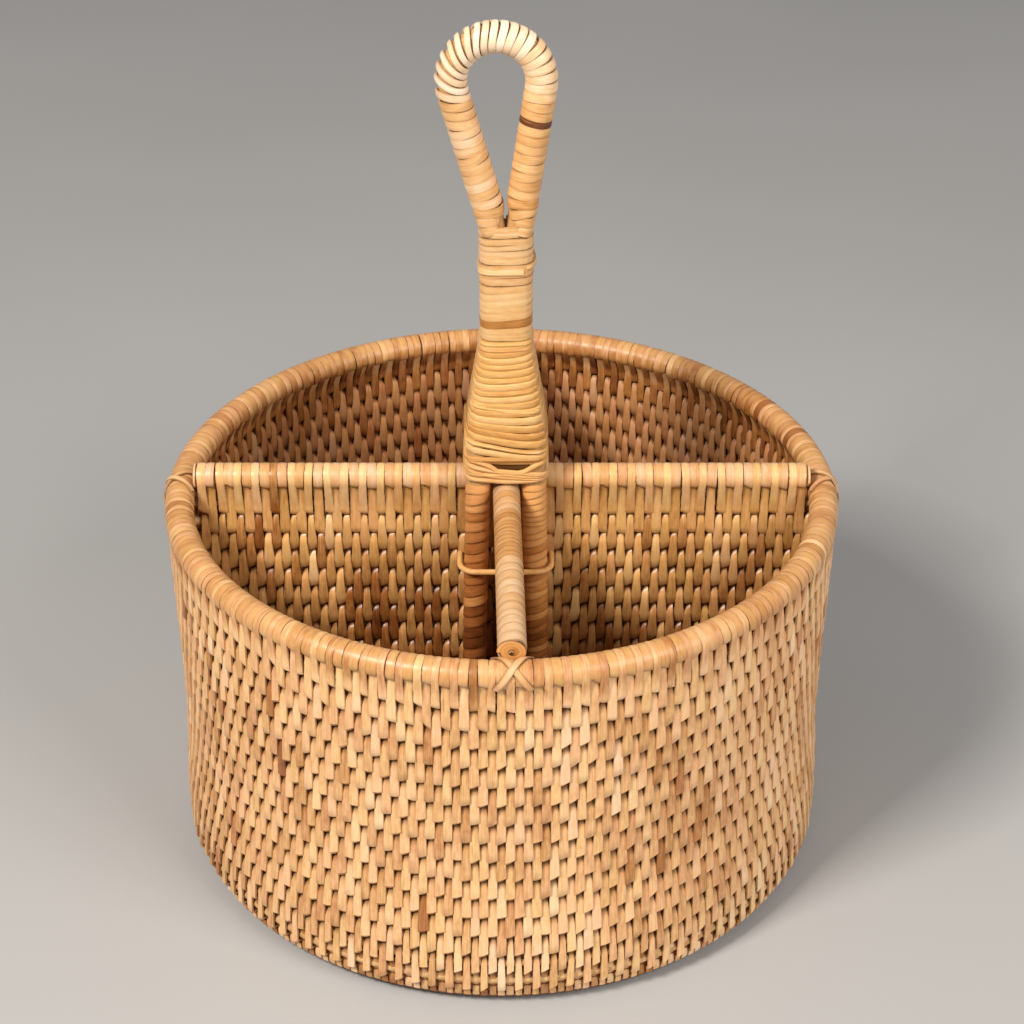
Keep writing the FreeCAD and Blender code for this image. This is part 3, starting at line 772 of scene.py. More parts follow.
@dataclass
class BasketWall:
    """The wall: two-row stitches round the hoops, strips that turn under the foot, and canes inside."""

    profile: WallProfile
    sectors: list[Sector]
    finish: bpy.types.Material
    seed: int = 11

    def azimuth(self, column: Array) -> Array:
        """Give the azimuth of a column.

        Args:
            column: Column numbers.

        Returns:
            Azimuths in radians.
        """
        return column * math.tau / WALL_COLUMNS

    def stitches(self) -> Course:
        """Work out every stitch of the wall.

        Returns:
            The course.
        """
        bounds = row_bounds(self.profile.hoop_heights)
        column, top, bottom = brick_rows(WALL_COLUMNS, bounds, (2, 1))
        radius = float(self.profile.hoop_radii.max())
        pitch = math.tau * radius / WALL_COLUMNS
        plan = StitchPlan(column, top, bottom, pitch, self.seed, narrow_below=bounds[-3])
        loops = plan.loops()
        azimuth = self.azimuth(column)[:, None] + loops["sideways"] / radius
        middle_radius = self.profile.middle_radius(loops["height"])
        centre = polar(middle_radius, azimuth, loops["height"])
        outward = polar(1.0, azimuth, 0.0 * azimuth)
        return course_from(loops, centre, outward, -UP)

    def foot_strips(self) -> Course:
        """Work out the strips that run from the lowest rows under the foot.

        Returns:
            The course.
        """
        rng = np.random.default_rng(self.seed + 1)
        bounds = row_bounds(self.profile.hoop_heights)
        low = self.profile.skin_heights.min()
        column = np.arange(WALL_COLUMNS)
        start = np.where(column % 2 == 0, bounds[-1], bounds[-2])
        share = np.linspace(0, 1, FOOT_CELLS + 1)
        height = start[:, None] + (low + 0.35 - start[:, None]) * np.sin(share * math.pi / 2)
        skin = self.profile.skin_radius(height) - PEEL_THICKNESS
        emerge = np.clip(share / 0.18, 0, 1)
        inner = self.profile.middle_radius(start)[:, None] + 0.6
        radius = inner + (skin - inner) * emerge
        tuck = np.clip((share - 0.8) / 0.2, 0, 1)
        radius = radius - FOOT_TUCK * tuck
        azimuth = self.azimuth(column)[:, None] + rng.normal(0, 0.0006, (len(column), 1))
        centre = polar(radius, azimuth, height)
        step_r, step_z = np.gradient(radius, axis=1), np.gradient(height, axis=1)
        outward = polar(1.0, azimuth + 0 * radius, 0.0 * radius)
        normal = unit(-step_z[..., None] * outward + step_r[..., None] * UP)
        pitch = math.tau * self.profile.hoop_radii.max() / WALL_COLUMNS
        width = pitch * (0.72 + 0.12 * share) * rng.normal(1, 0.05, (len(column), 1))
        tone = np.clip(0.5 + rng.normal(0, 0.16, len(column)), 0, 1)
        # The strips get a low depth where they emerge and where they tuck under the foot: painted shade
        # there.
        depth = np.broadcast_to(0.2 + 0.6 * emerge, width.shape) - 0.6 * tuck
        return Course(centre, normal, width, np.full_like(width, PEEL_THICKNESS), tone, depth)

    def spacers(self) -> None:
        """Lay the flat canes between the hoops, inside the wall, and the packing cane in the foot."""
        bounds = row_bounds(self.profile.hoop_heights)
        low, high = node_box("base_hoop")
        packing_height = (low[2] + high[2]) / 2
        heights = np.concatenate([bounds[:-1] - SPACER_DROP, [bounds[-1] + SPACER_DROP, packing_height]])
        radii = self.profile.middle_radius(heights)
        radii[-1] = high[0] + SPACER_DROP + PACKING_DIAMETER / 2
        sizes = np.full((2, len(heights), 1), [[[SPACER_WIDTH]], [[SPACER_THICKNESS]]])
        sizes[:, -1] = PACKING_DIAMETER
        width, thickness = np.repeat(sizes, SPACER_STATIONS, axis=2)
        azimuth = np.linspace(0, math.tau, SPACER_STATIONS, endpoint=False)
        centre = polar(radii[:, None], azimuth, heights[:, None])
        outward = polar(1.0, azimuth, np.zeros((len(heights), 1)))
        # The canes take the darkest tone and a low depth: a dark thing painted as the shade seen in the gaps
        # between the stitches.
        course = Course(centre, outward, width, thickness, tone=np.zeros(len(heights)),
                        depth=np.full(width.shape, 0.4), crown=0.0)
        canes = lay("wall_spacer_canes", ring_stock(SPACER_STATIONS, ROUND_SECTION), course, self.seed + 2)
        dress(canes, self.finish, Slot.CANE)

    def build(self) -> None:
        """Make the canes, and the stitches and foot strips of each sector."""
        self.spacers()
        wall_stock, foot_stock = ring_stock(WALL_STITCH.stations, FLAT_SECTION), flat_stock(FOOT_CELLS)
        stitches, feet = self.stitches(), self.foot_strips()
        for number, sector in enumerate(self.sectors):
            course = stitches.part(sector.holds(first_azimuth(stitches)))
            wall = lay(sector.name + "_wall", wall_stock, course, self.seed + 20 + number)
            dress(wall, self.finish, Slot.WEAVE, sector.name + "_wall_weave")
            course = feet.part(sector.holds(first_azimuth(feet)))
            foot = lay(sector.name + "_foot", foot_stock, course, self.seed + 30 + number)
            dress(foot, self.finish, Slot.WEAVE)


def dress(piece: bpy.types.Object, finish: bpy.types.Material, slot: Slot, *nodes: str) -> None:
    """Give a piece its finish and body, and hide the CAD nodes that it stands for.

    Args:
        piece: The piece.
        finish: Its material.
        slot: Not used.
        nodes: CAD nodes that it stands for.
    """
    piece.data.materials.append(finish)
    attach(piece, BODY)
    if nodes:
        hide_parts(*nodes)


# ---------------------------------------------------------------- folded borders
def resampled(points: Array, stations: int) -> Array:
    """Space points evenly along a line, with its corners eased.

    Args:
        points: The line's corners.
        stations: How many points are wanted.

    Returns:
        Evenly spaced points.
    """
    for _ in range(2):
        cut = [points[:1]]
        for start, end in zip(points, points[1:]):
            cut.append(np.array([start * 0.75 + end * 0.25, start * 0.25 + end * 0.75]))
        cut.append(points[-1:])
        points = np.concatenate(cut)
    steps = np.concatenate([[0], np.cumsum(np.linalg.norm(np.diff(points, axis=0), axis=1))])
    targets = np.linspace(0, steps[-1], stations)
    return np.column_stack([np.interp(targets, steps, points[:, axis]) for axis in range(points.shape[1])])


def arc_line(centre: tuple[float, float], radius: float, start_deg: float, end_deg: float) -> Array:
    """Give points round an arc.

    Args:
        centre: The arc's middle.
        radius: Its radius.
        start_deg: Where it starts, anticlockwise from the first axis.
        end_deg: Where it ends.

    Returns:
        Points every 10 degrees or so.
    """
    count = max(2, int(abs(end_deg - start_deg) / 10) + 1)
    turn = np.radians(np.linspace(start_deg, end_deg, count))
    return np.column_stack([centre[0] + radius * np.cos(turn), centre[1] + radius * np.sin(turn)])


@dataclass(frozen=True)
class FoldSection:
    """Section of a folded border: a tube over a wall, in the plane across the border."""

    tube: tuple[float, float]
    tube_radius: float
    wall_middle: float
    top_bar: float
    row_pitch: float
    end_deg: float = -12.0

    @property
    def strip_radius(self) -> float:
        """Radius of a strip's middle where it lies on the tube."""
        return self.tube_radius - PEEL_THICKNESS / 2 - PEEL_CROWN

    def short_line(self, stations: int) -> Array:
        """Give the line of a short fold, from one side of the tube to the other.

        Args:
            stations: How many points are wanted.

        Returns:
            The line.
        """
        arc = arc_line(self.tube, self.strip_radius, self.end_deg, 180 - self.end_deg)
        tucked = self.strip_radius - TUCK_IN
        start, end = (np.array(self.tube) + [side * tucked, -TUCK_DOWN] for side in (1, -1))
        return resampled(np.vstack([start, arc, end]), stations)

    def long_line(self, stations: int) -> Array:
        """Give the line of a long fold, which runs on over the top bar on both sides.

        Args:
            stations: How many points are wanted.

        Returns:
            The line.
        """
        arc = arc_line(self.tube, self.strip_radius, LONG_FOLD_DEG, 180 - LONG_FOLD_DEG)
        low = self.top_bar - self.row_pitch / 2
        outer = np.array([
            [self.wall_middle + 0.3, low + 0.15], [self.wall_middle + 2.0, low + 0.35],
            [self.wall_middle + 2.45, self.top_bar - 2.2], [self.wall_middle + 2.4, self.top_bar],
        ])
        inner = outer * [-1, 1] + [2 * self.wall_middle, 0]
        return resampled(np.vstack([outer, arc, inner[::-1]]), stations)

    def first_line(self, stations: int) -> Array:
        """Give the line of a first stitch, whose ends tuck in under the short folds.

        Args:
            stations: How many points are wanted.

        Returns:
            The line, from the outside over the tube's flanks to the inside.
        """
        low = self.top_bar - 1.5 * self.row_pitch
        below = np.array([[0.3, low + 0.15], [2.0, low + 0.35], [2.45, low + 2.0],
                          [2.3, self.top_bar - self.row_pitch], [2.2, self.top_bar]])
        outer, inner = (
            np.vstack([below * [side, 1] + [self.wall_middle, 0],
                       arc_line(self.tube, self.tube_radius - 1.15, start_deg, end_deg)])
            for side, start_deg, end_deg in (
                (1, FLANK_DEG[0], FLANK_DEG[1]), (-1, 180 - FLANK_DEG[0], 180 - FLANK_DEG[1]),
            )
        )
        return resampled(np.vstack([outer, inner[::-1]]), stations)


@dataclass(frozen=True)
class FoldLooks:
    """Width, tone and looks of one kind of fold: over the tube, at its lower ends and on the inside, where
    the tone drops as painted shade.
    """

    width: float
    end_width: float
    tone: float
    end_tone: float
    slant: float
    inner_shade_drop: float = 0.0


@dataclass(frozen=True)
class FoldJitter:
    """Standard deviations of what differs from fold to fold, and a cut end's mean slant."""

    along: float = 0.10
    wander: float = 0.04
    end: float = 0.22
    width_share: float = 0.05
    ripple_share: float = 0.012
    tone: float = 0.045
    end_slant: float = 0.35
    mean_end_slant: float = 0.3


# Short folds, long folds and first stitches, on the rim and on the cross divider's rail.
RIM_FOLDS = (
    FoldLooks(width=3.62, end_width=3.5, tone=0.56, end_tone=0.60, slant=0.35, inner_shade_drop=0.16),
    FoldLooks(width=2.72, end_width=3.35, tone=0.42, end_tone=0.60, slant=0.45, inner_shade_drop=0.42),
    FoldLooks(width=3.1, end_width=3.45, tone=0.55, end_tone=0.58, slant=0.1, inner_shade_drop=0.42),
)
# On the rail the long folds' lower ends take a lower tone: painted shade below the rail.
RAIL_FOLDS = (
    FoldLooks(width=3.62, end_width=3.5, tone=0.63, end_tone=0.60, slant=0.35),
    FoldLooks(width=3.0, end_width=3.9, tone=0.71, end_tone=0.54, slant=0.45),
    FoldLooks(width=3.3, end_width=3.9, tone=0.57, end_tone=0.55, slant=0.1),
)


class BorderLine:
    """The line that a border follows; a section point is (outward, height)."""

    def place(self, along: Array, section: Array) -> tuple[Array, Array, Array]:
        """Place section points along the border.

        Args:
            along: Distance along the border, by strip and station.
            section: Section points, by strip and station.

        Returns:
            Points, the outward unit vectors there and the share by which widths shrink.
        """
        raise NotImplementedError


@dataclass(frozen=True)
class RoundLine(BorderLine):
    """A ring about the upright axis; distances are measured at the radius given."""

    radius: float

    def place(self, along: Array, section: Array) -> tuple[Array, Array, Array]:
        """Place section points round the ring; see BorderLine.place.

        Args:
            along: Distance along the ring.
            section: Section points.

        Returns:
            Points, outward vectors and width shares.
        """
        azimuth = along / self.radius
        points = polar(section[..., 0], azimuth, section[..., 1])
        return points, polar(1.0, azimuth, 0 * azimuth), section[..., 0] / self.radius


@dataclass(frozen=True)
class StraightLine(BorderLine):
    """A straight border from a point along a direction."""

    start: Array
    direction: Array
    outward: Array

    def place(self, along: Array, section: Array) -> tuple[Array, Array, Array]:
        """Place section points along the line; see BorderLine.place.

        Args:
            along: Distance along the line.
            section: Section points.

        Returns:
            Points, outward vectors and width shares.
        """
        points = self.start * [1, 1, 0] + self.direction * along[..., None]
        points = points + self.outward * section[..., :1] + UP * section[..., 1:]
        return points, np.broadcast_to(self.outward, points.shape), np.ones_like(along)


@dataclass
class FoldedBorder:
    """Peel folded over a tube: short and long folds by turns, and first stitches below the short ones."""

    line: BorderLine
    section: FoldSection
    along: Array
    parity: Array
    seed: int
    looks: tuple[FoldLooks, FoldLooks, FoldLooks] = RIM_FOLDS
    jitter: FoldJitter = FoldJitter()

    def strips(self, line: Array, looks: FoldLooks, chosen: Array, seed: int) -> Course:
        """Work out one kind of fold.

        Args:
            line: The section line that each fold follows.
            looks: Its width and looks.
            chosen: Mask of the columns that have it.
            seed: Seed of its irregularities.

        Returns:
            The course.
        """
        rng = np.random.default_rng(seed)
        along, jitter = self.along[chosen], self.jitter
        count, stations = len(along), len(line)
        share = np.linspace(-1, 1, stations)
        shift = rng.normal(0, jitter.along, (count, 1)) + rng.normal(0, looks.slant, (count, 1)) * share
        wander = rng.normal(0, jitter.wander, (count, stations))
        middle_share = 1 - np.abs(share)
        section = np.broadcast_to(line, (count, stations, 2)).copy()
        section[..., 1] += rng.normal(0, jitter.end, (count, 1)) * (np.abs(share) > 0.9)
        points, outward, shrink = self.line.place(along[:, None] + shift + wander, section)
        step = np.gradient(section, axis=1)
        normal = unit(outward * -step[..., 1:] + UP * step[..., :1])
        turn = np.sign(np.sum(normal[:, stations // 2] * UP, axis=-1))[:, None, None]
        ends = np.clip((0.45 - middle_share) / 0.35, 0, 1)
        width = (looks.width + (looks.end_width - looks.width) * ends) * shrink
        width = width * rng.normal(1, jitter.width_share, (count, 1))
        width = width * rng.normal(1, jitter.ripple_share, (count, stations))
        tone = looks.tone + rng.normal(0, jitter.tone, count)
        tone[rng.random(count) < DARK_FOLD_SHARE] -= DARK_FOLD_DROP
        tone = tone[:, None] + (looks.end_tone - looks.tone) * ends
        # Painted shade: the fold's inner half takes a lower tone.
        tone = tone - looks.inner_shade_drop * np.clip((share - 0.3) / 0.4, 0, 1)
        # Painted shade: the fold's ends, where they tuck in, get a low depth and are painted darker.
        depth = np.broadcast_to(np.clip(0.35 + middle_share * 9, 0, 1), (count, stations))
        slant = rng.normal(jitter.mean_end_slant, jitter.end_slant, (count, 1)) * (np.abs(share) > 0.85)
        return Course(points, normal * turn, width, np.full_like(width, PEEL_THICKNESS), np.clip(tone, 0, 1),
                      depth, shear=slant, shear_along=np.broadcast_to(UP, points.shape))

    def build(self, name: str, finishes: Sequence[bpy.types.Material], node: str) -> None:
        """Make the border's three pieces.

        Args:
            name: What their names start with.
            finishes: Finishes of the short folds, the long folds and the first stitches.
            node: The CAD node that the short folds stand for.
        """
        short = self.parity == 0
        kinds = (
            ("_short_folds", self.section.short_line(FOLD_STATIONS), short, Slot.BINDING, (node,)),
            ("_long_folds", self.section.long_line(2 * FOLD_STATIONS - 1), ~short, Slot.BINDING, ()),
            ("_first_stitches", self.section.first_line(2 * FOLD_STATIONS - 1), short, Slot.WEAVE, ()),
        )
        for number, (ending, line, chosen, slot, nodes) in enumerate(kinds):
            seed = self.seed + 2 * number
            course = self.strips(line, self.looks[number], chosen, seed)
            piece = lay(name + ending, flat_stock(len(line) - 1), course, seed + 1)
            dress(piece, finishes[number], slot, *nodes)


# ---------------------------------------------------------------- windings
@dataclass(frozen=True)
class Core:
    """What a strip is wound on: a line with a section at each of its points."""

    at: Array
    centre: Array
    first: Array
    second: Array
    half_first: Array
    half_second: Array
    power: Array
    angle_step: float = 0.04

    @property
    def length(self) -> float:
        """Length of the line."""
        return float(self.at[-1])

    @classmethod
    def along(
        cls, line: Array, second: Array, halves: tuple[Array, Array], power: Array | float = 2.0,
    ) -> "Core":
        """Make a core along a line.

        Args:
            line: Points of the line.
            second: The section's second axis, which is at right angles to the line.
            halves: Half sizes of the section at each point, or one for all.
            power: Shape of the section: 2 is round, more is squarer.

        Returns:
            The core.
        """
        at = np.concatenate([[0], np.cumsum(np.linalg.norm(np.diff(line, axis=0), axis=1))])
        tangent = unit(np.gradient(line, axis=0))
        second = np.broadcast_to(unit(np.asarray(second, float)), line.shape)
        first = unit(np.cross(second, tangent))
        tables = (np.broadcast_to(np.asarray(table, float), at.shape) for table in (*halves, power))
        return cls(at, line, first, second, *tables)

    def sample(self, values: Array, distance: Array) -> Array:
        """Read one of the core's tables at distances along it.

        Args:
            values: The table.
            distance: Distances along the line.

        Returns:
            The values there.
        """
        distance = np.clip(distance, 0, self.length)
        if values.ndim == 1:
            return np.interp(distance, self.at, values)
        return np.stack([np.interp(distance, self.at, values[:, axis]) for axis in range(3)], axis=-1)

    def surface(self, distance: Array, angle: Array, sink: float) -> tuple[Array, Array]:
        """Give points of the core's surface and the directions out of it.

        Args:
            distance: Distances along the line.
            angle: Angles round it, from the first axis to the second.
            sink: How far under the surface the points lie.

        Returns:
            Points and unit normals.
        """
        half_first = self.sample(self.half_first, distance) - sink
        half_second = self.sample(self.half_second, distance) - sink
        first, second = self.sample(self.first, distance), self.sample(self.second, distance)
        power = self.sample(self.power, distance)

        def outline(turn: Array) -> tuple[Array, Array]:
            cosine, sine = np.cos(turn), np.sin(turn)
            total = np.abs(cosine / half_first) ** power + np.abs(sine / half_second) ** power
            reach = total ** (-1 / power)
            return reach * cosine, reach * sine

        x, y = outline(angle)
        ahead, behind = outline(angle + self.angle_step), outline(angle - self.angle_step)
        step_x, step_y = ahead[0] - behind[0], ahead[1] - behind[1]
        normal = unit(first * step_y[..., None] - second * step_x[..., None])
        points = self.sample(self.centre, distance)
        points = points + first * x[..., None] + second * y[..., None]
        return points, normal


@dataclass
class Winding:
    """One long strip wound round a core, turn by turn."""

    core: Core
    pitches: Array
    tone: Array
    seed: int
    thickness: float = PEEL_THICKNESS
    crown: float = PEEL_CROWN
    cover: Array | float = 1.02
    edge_lift: Array | float = 0.10
    recess: Array | float = SKIN_SINK
    # shade is written as the depth attribute: lower values are painted darker, as painted shade.
    shade: Array | float = 1.0
    tone_spread: float = 0.06
    slant: Array | float = 0.0
    slant_jitter: float = 0.12
    sag: float = 0.0
    sag_power: float = 1.5
    cover_jitter: float = 0.03
    front_deg: float = -90.0
    phase_deg: float = 90.0
    per_turn: int = 26
    round_cane: bool = False

    def build(self, name: str) -> bpy.types.Object:
        """Make the winding as one piece.

        Args:
            name: The piece's name.

        Returns:
            The piece.
        """
        rng = np.random.default_rng(self.seed)
        turns = len(self.pitches)
        edges = np.concatenate([[0], np.cumsum(self.pitches)]) / np.sum(self.pitches) * self.core.length
        pitch = np.diff(edges)
        cells = turns * self.per_turn
        turn = np.linspace(0, turns, cells + 1)
        angle = math.radians(self.phase_deg) + turn * math.tau
        middles = np.arange(turns) + 0.5
        distance = np.interp(turn, np.arange(turns + 1), edges)
        local_pitch = np.interp(turn, middles, pitch)
        slants = np.interp(turn, middles, self.slant + rng.normal(0, self.slant_jitter, turns))
        front = np.cos(angle - math.radians(self.front_deg))
        distance = distance + slants * np.sin(angle - math.radians(self.front_deg))
        distance = distance - self.sag * np.clip(front, 0, 1) ** self.sag_power
        lowest = np.minimum(local_pitch / 2, self.core.length / 2)
        distance = np.clip(distance, lowest, self.core.length - lowest)
        crown, edge_lift = (0.0, 0.0) if self.round_cane else (self.crown, self.edge_lift)
        lift, recess, shade = (
            np.interp(turn, middles, np.broadcast_to(values, turns))
            for values in (edge_lift, self.recess, self.shade)
        )
        sink = self.thickness / 2 + crown + lift + recess
        points, normal = self.core.surface(distance, angle, sink)
        tone = (self.tone + rng.normal(0, self.tone_spread, turns))[np.minimum(turn.astype(int), turns - 1)]
        slope = np.arctan(slants / self.core.sample(self.core.half_first, distance))
        cover = self.cover * rng.normal(1, self.cover_jitter, turns)
        widths = local_pitch * np.interp(turn, middles, cover) * np.cos(slope)
        course = Course(
            centre=points[None], normal=normal[None], width=widths[None],
            thickness=np.full((1, cells + 1), self.thickness), tone=np.clip(tone, 0, 1)[None],
            depth=shade[None], crown=crown, shear=lift[None], shear_along=normal[None],
        )
        stock = cane_stock(cells) if self.round_cane else flat_stock(cells)
        return lay(name, stock, course, self.seed)


def pitch_list(length: float, mean: float, seed: int, spread: float = 0.09) -> Array:
    """Make the pitches of a winding's turns.

    Args:
        length: The wound length.
        mean: The mean pitch wanted.
        seed: Seed of the irregularities.
        spread: Their relative size.

    Returns:
        One pitch a turn, which add up to the length.
    """
    turns = max(2, round(length / mean))
    pitches = np.random.default_rng(seed).normal(1, spread, turns).clip(0.6, 1.5)
    return pitches / pitches.sum() * length


def pitches_along(length: float, pitch_at: Callable[[float], float]) -> Array:
    """Make the pitches of a winding whose pitch changes along it.

    Args:
        length: The wound length.
        pitch_at: Gives the pitch at a distance.

    Returns:
        One pitch a turn, up to the turn that reaches the end.
    """
    pitches, at = [], 0.0
    while at < length:
        pitches.append(pitch_at(at))
        at += pitches[-1]
    return np.array(pitches)


def rod_ends(node: str, axis: int) -> tuple[Array, Array]:
    """Find the middles of a straight rod's two ends.

    Args:
        node: The rod's node.
        axis: The axis that it mainly runs along.

    Returns:
        The middle of its low end and of its high end.
    """
    points = node_points(node)
    ends = []
    for limit, side in ((points[:, axis].min(), 1), (points[:, axis].max(), -1)):
        near = points[(points[:, axis] - limit) * side < 0.6]
        ends.append(np.array([middle(near[:, number]) for number in range(3)]))
    return ends[0], ends[1]


def upright_core(node: str) -> Core:
    """Read the core under an upright wrap from its outer skin.

    Args:
        node: The wrap's node.

    Returns:
        The core, with its sections taken to the skin.
    """
    points = node_points(node)
    levels = np.round(points[:, 2], 1)
    rings = [(height, points[levels == height]) for height in np.unique(levels)]
    fullest = max(len(ring) for _, ring in rings)
    sections = []
    for height, ring in rings:
        if len(ring) > fullest / 4:
            x, y = middle(ring[:, 0]), middle(ring[:, 1])
            half_x, half_y = np.ptp(ring[:, 0]) / 2, np.ptp(ring[:, 1]) / 2
            corner = np.max(np.abs(ring[:, 0] - x) / half_x + np.abs(ring[:, 1] - y) / half_y) / 2
            sections.append([height, x, y, half_x, half_y, -1 / math.log2(corner)])
    heights, *columns = np.array(sections).T
    samples = np.linspace(heights[0], heights[-1], 24)
    x, y, half_x, half_y, power = (np.interp(samples, heights, column) for column in columns)
    return Core.along(np.column_stack([x, y, samples]), np.array([0.0, 1.0, 0.0]), (half_x, half_y), power)


def lay_end_coil(
    name: str, centre: Array, outward: Array, radius: float, finish: bpy.types.Material, seed: int,
) -> None:
    """Close a rail's end with a flat coil of peel round a small hole.

    Args:
        name: The piece's name.
        centre: The middle of the end.
        outward: The unit vector out of the end.
        radius: The rail's radius.
        finish: The coil's finish.
        seed: Seed of its grain.
    """
    stations = COIL_CELLS + 1
    angle = np.linspace(0, COIL_TURNS * math.tau, stations)
    reach = np.linspace(radius - COIL_MARGIN, COIL_HOLE_RADIUS, stations)
    reach = reach * (1 + 0.07 * np.sin(2 * angle + 0.9))
    across = unit(np.cross(outward, UP))
    rise = np.cross(across, outward)
    points = centre + across * (np.cos(angle) * reach)[:, None] + rise * (np.sin(angle) * reach)[:, None]
    points = points + outward * np.linspace(0.05, -0.05, stations)[:, None]
    # The inner turns, near the hole, get a low depth: painted shade going into the hole.
    course = Course(
        centre=points[None], normal=np.broadcast_to(outward, points.shape)[None],
        width=np.full((1, stations), COIL_PEEL_WIDTH), thickness=np.full((1, stations), RAIL_PEEL_THICKNESS),
        tone=np.full((1, stations), 0.84), depth=np.interp(reach, [1.0, 1.9], [0.05, 1.0])[None],
    )
    dress(lay(name, flat_stock(COIL_CELLS), course, seed), finish, Slot.BINDING)


# ---------------------------------------------------------------- dividers
@dataclass(frozen=True)
class PanelLine(StraightLine):
    """Where a divider panel runs, seen from above, and the columns of its weave."""

    length: float

    @classmethod
    def read(cls, name: str, folded: bool) -> "PanelLine":
        """Read the line from the panel's ribs.

        Args:
            name: What the panel's nodes start with.
            folded: Whether it is the cross divider, which runs from left to right.

        Returns:
            The line; a half divider's starts at the handle and runs to the rim.
        """
        start, end = rod_ends(name + "_ribs", 0 if folded else 1)
        if name == "front":
            start, end = end, start
        direction = unit((end - start) * [1, 1, 0])
        outward = np.cross(direction, UP) * (1 if folded else -1)
        return cls(start, direction, outward, float(np.linalg.norm((end - start)[:2])))

    @property
    def columns(self) -> int:
        """How many columns the panel has."""
        return int(self.length / PANEL_COLUMN_PITCH)

    @property
    def pitch(self) -> float:
        """The pitch of its columns in millimetres."""
        return self.length / self.columns


@dataclass
class Panel:
    """A stitched divider panel below a rail, with its ribs."""

    name: str
    seed: int
    folded: bool = False

    def build(self, weave: bpy.types.Material) -> None:
        """Make the panel's stitches.

        Args:
            weave: Finish of the weave.
        """
        line = PanelLine.read(self.name, self.folded)
        low, high = node_box(self.name + "_weave")
        bounds = row_bounds(bar_rows(self.name + "_ribs", 2))
        column, top, bottom = brick_rows(line.columns, bounds, (2, 1) if self.folded else (0, 1))
        odd = np.arange(1, line.columns, 2).astype(float)
        short_rows = [(bounds[-2], bounds[-1]), (bounds[0], bounds[1])][:1 if self.folded else 2]
        column = np.concatenate([column, *(odd for _ in short_rows)])
        top = np.concatenate([top, *(np.full(len(odd), row[0]) for row in short_rows)])
        bottom = np.concatenate([bottom, *(np.full(len(odd), row[1]) for row in short_rows)])
        top = np.where(top == bounds[0], high[2], top)
        bottom = np.where(bottom == bounds[-1], low[2] + 0.3, bottom)
        # Painted shade: the panel's lower rows take darker tones.
        tones = np.interp(top, [bounds[-1], bounds[0]], PANEL_SHADE_TONES)
        plan = StitchPlan(column, top, bottom, line.pitch, self.seed, PANEL_STITCH, tone_middle=tones,
                          tone_spread=0.09)
        loops = plan.loops()
        along = (column[:, None] + 0.5) * line.pitch + loops["sideways"]
        centre = line.start * [1, 1, 0] + line.direction * along[..., None] + UP * loops["height"][..., None]
        course = course_from(loops, centre, np.broadcast_to(line.outward, centre.shape), -UP)
        stock = ring_stock(PANEL_STITCH.stations, FLAT_SECTION)
        panel = lay(self.name + "_panel", stock, course, self.seed + 1)
        dress(panel, weave, Slot.WEAVE, self.name + "_weave")
        LOG.info("%s panel: %d columns, %d stitches", self.name, line.columns, len(column))

    def border(self, binding: bpy.types.Material, weave: bpy.types.Material) -> None:
        """Fold peel over the panel's rail, and close the rail's ends.

        Args:
            binding: Finish of the short folds.
            weave: Finish of the long folds, the first stitches and the ends.
        """
        node = self.name + "_rail_binding"
        line = PanelLine.read(self.name, self.folded)
        low, high = node_box(node)
        radius = float(high[2] - low[2]) / 2
        rows = bar_rows(self.name + "_ribs", 2)
        columns = np.arange(line.columns)
        along = (columns + 0.5) * line.pitch
        shown = np.abs(along - line.length / 2) < (high[0] - low[0]) / 2 - PANEL_COLUMN_PITCH / 2
        section = FoldSection(
            tube=(0.0, float(low[2] + high[2]) / 2), tube_radius=radius, wall_middle=0.0,
            top_bar=float(rows[-1]), row_pitch=float(np.mean(np.diff(rows))), end_deg=-20.0,
        )
        folds = FoldedBorder(line, section, along[shown], columns[shown] % 2, self.seed + 40, RAIL_FOLDS)
        folds.build(self.name, (binding, weave, weave), node)
        left, right = rod_ends(node, 0)
        for side, end, other in (("left", left, right), ("right", right, left)):
            name = f"{self.name}_{side}_rail_end"
            lay_end_coil(name, end, unit(end - other), radius, weave, self.seed + 50)


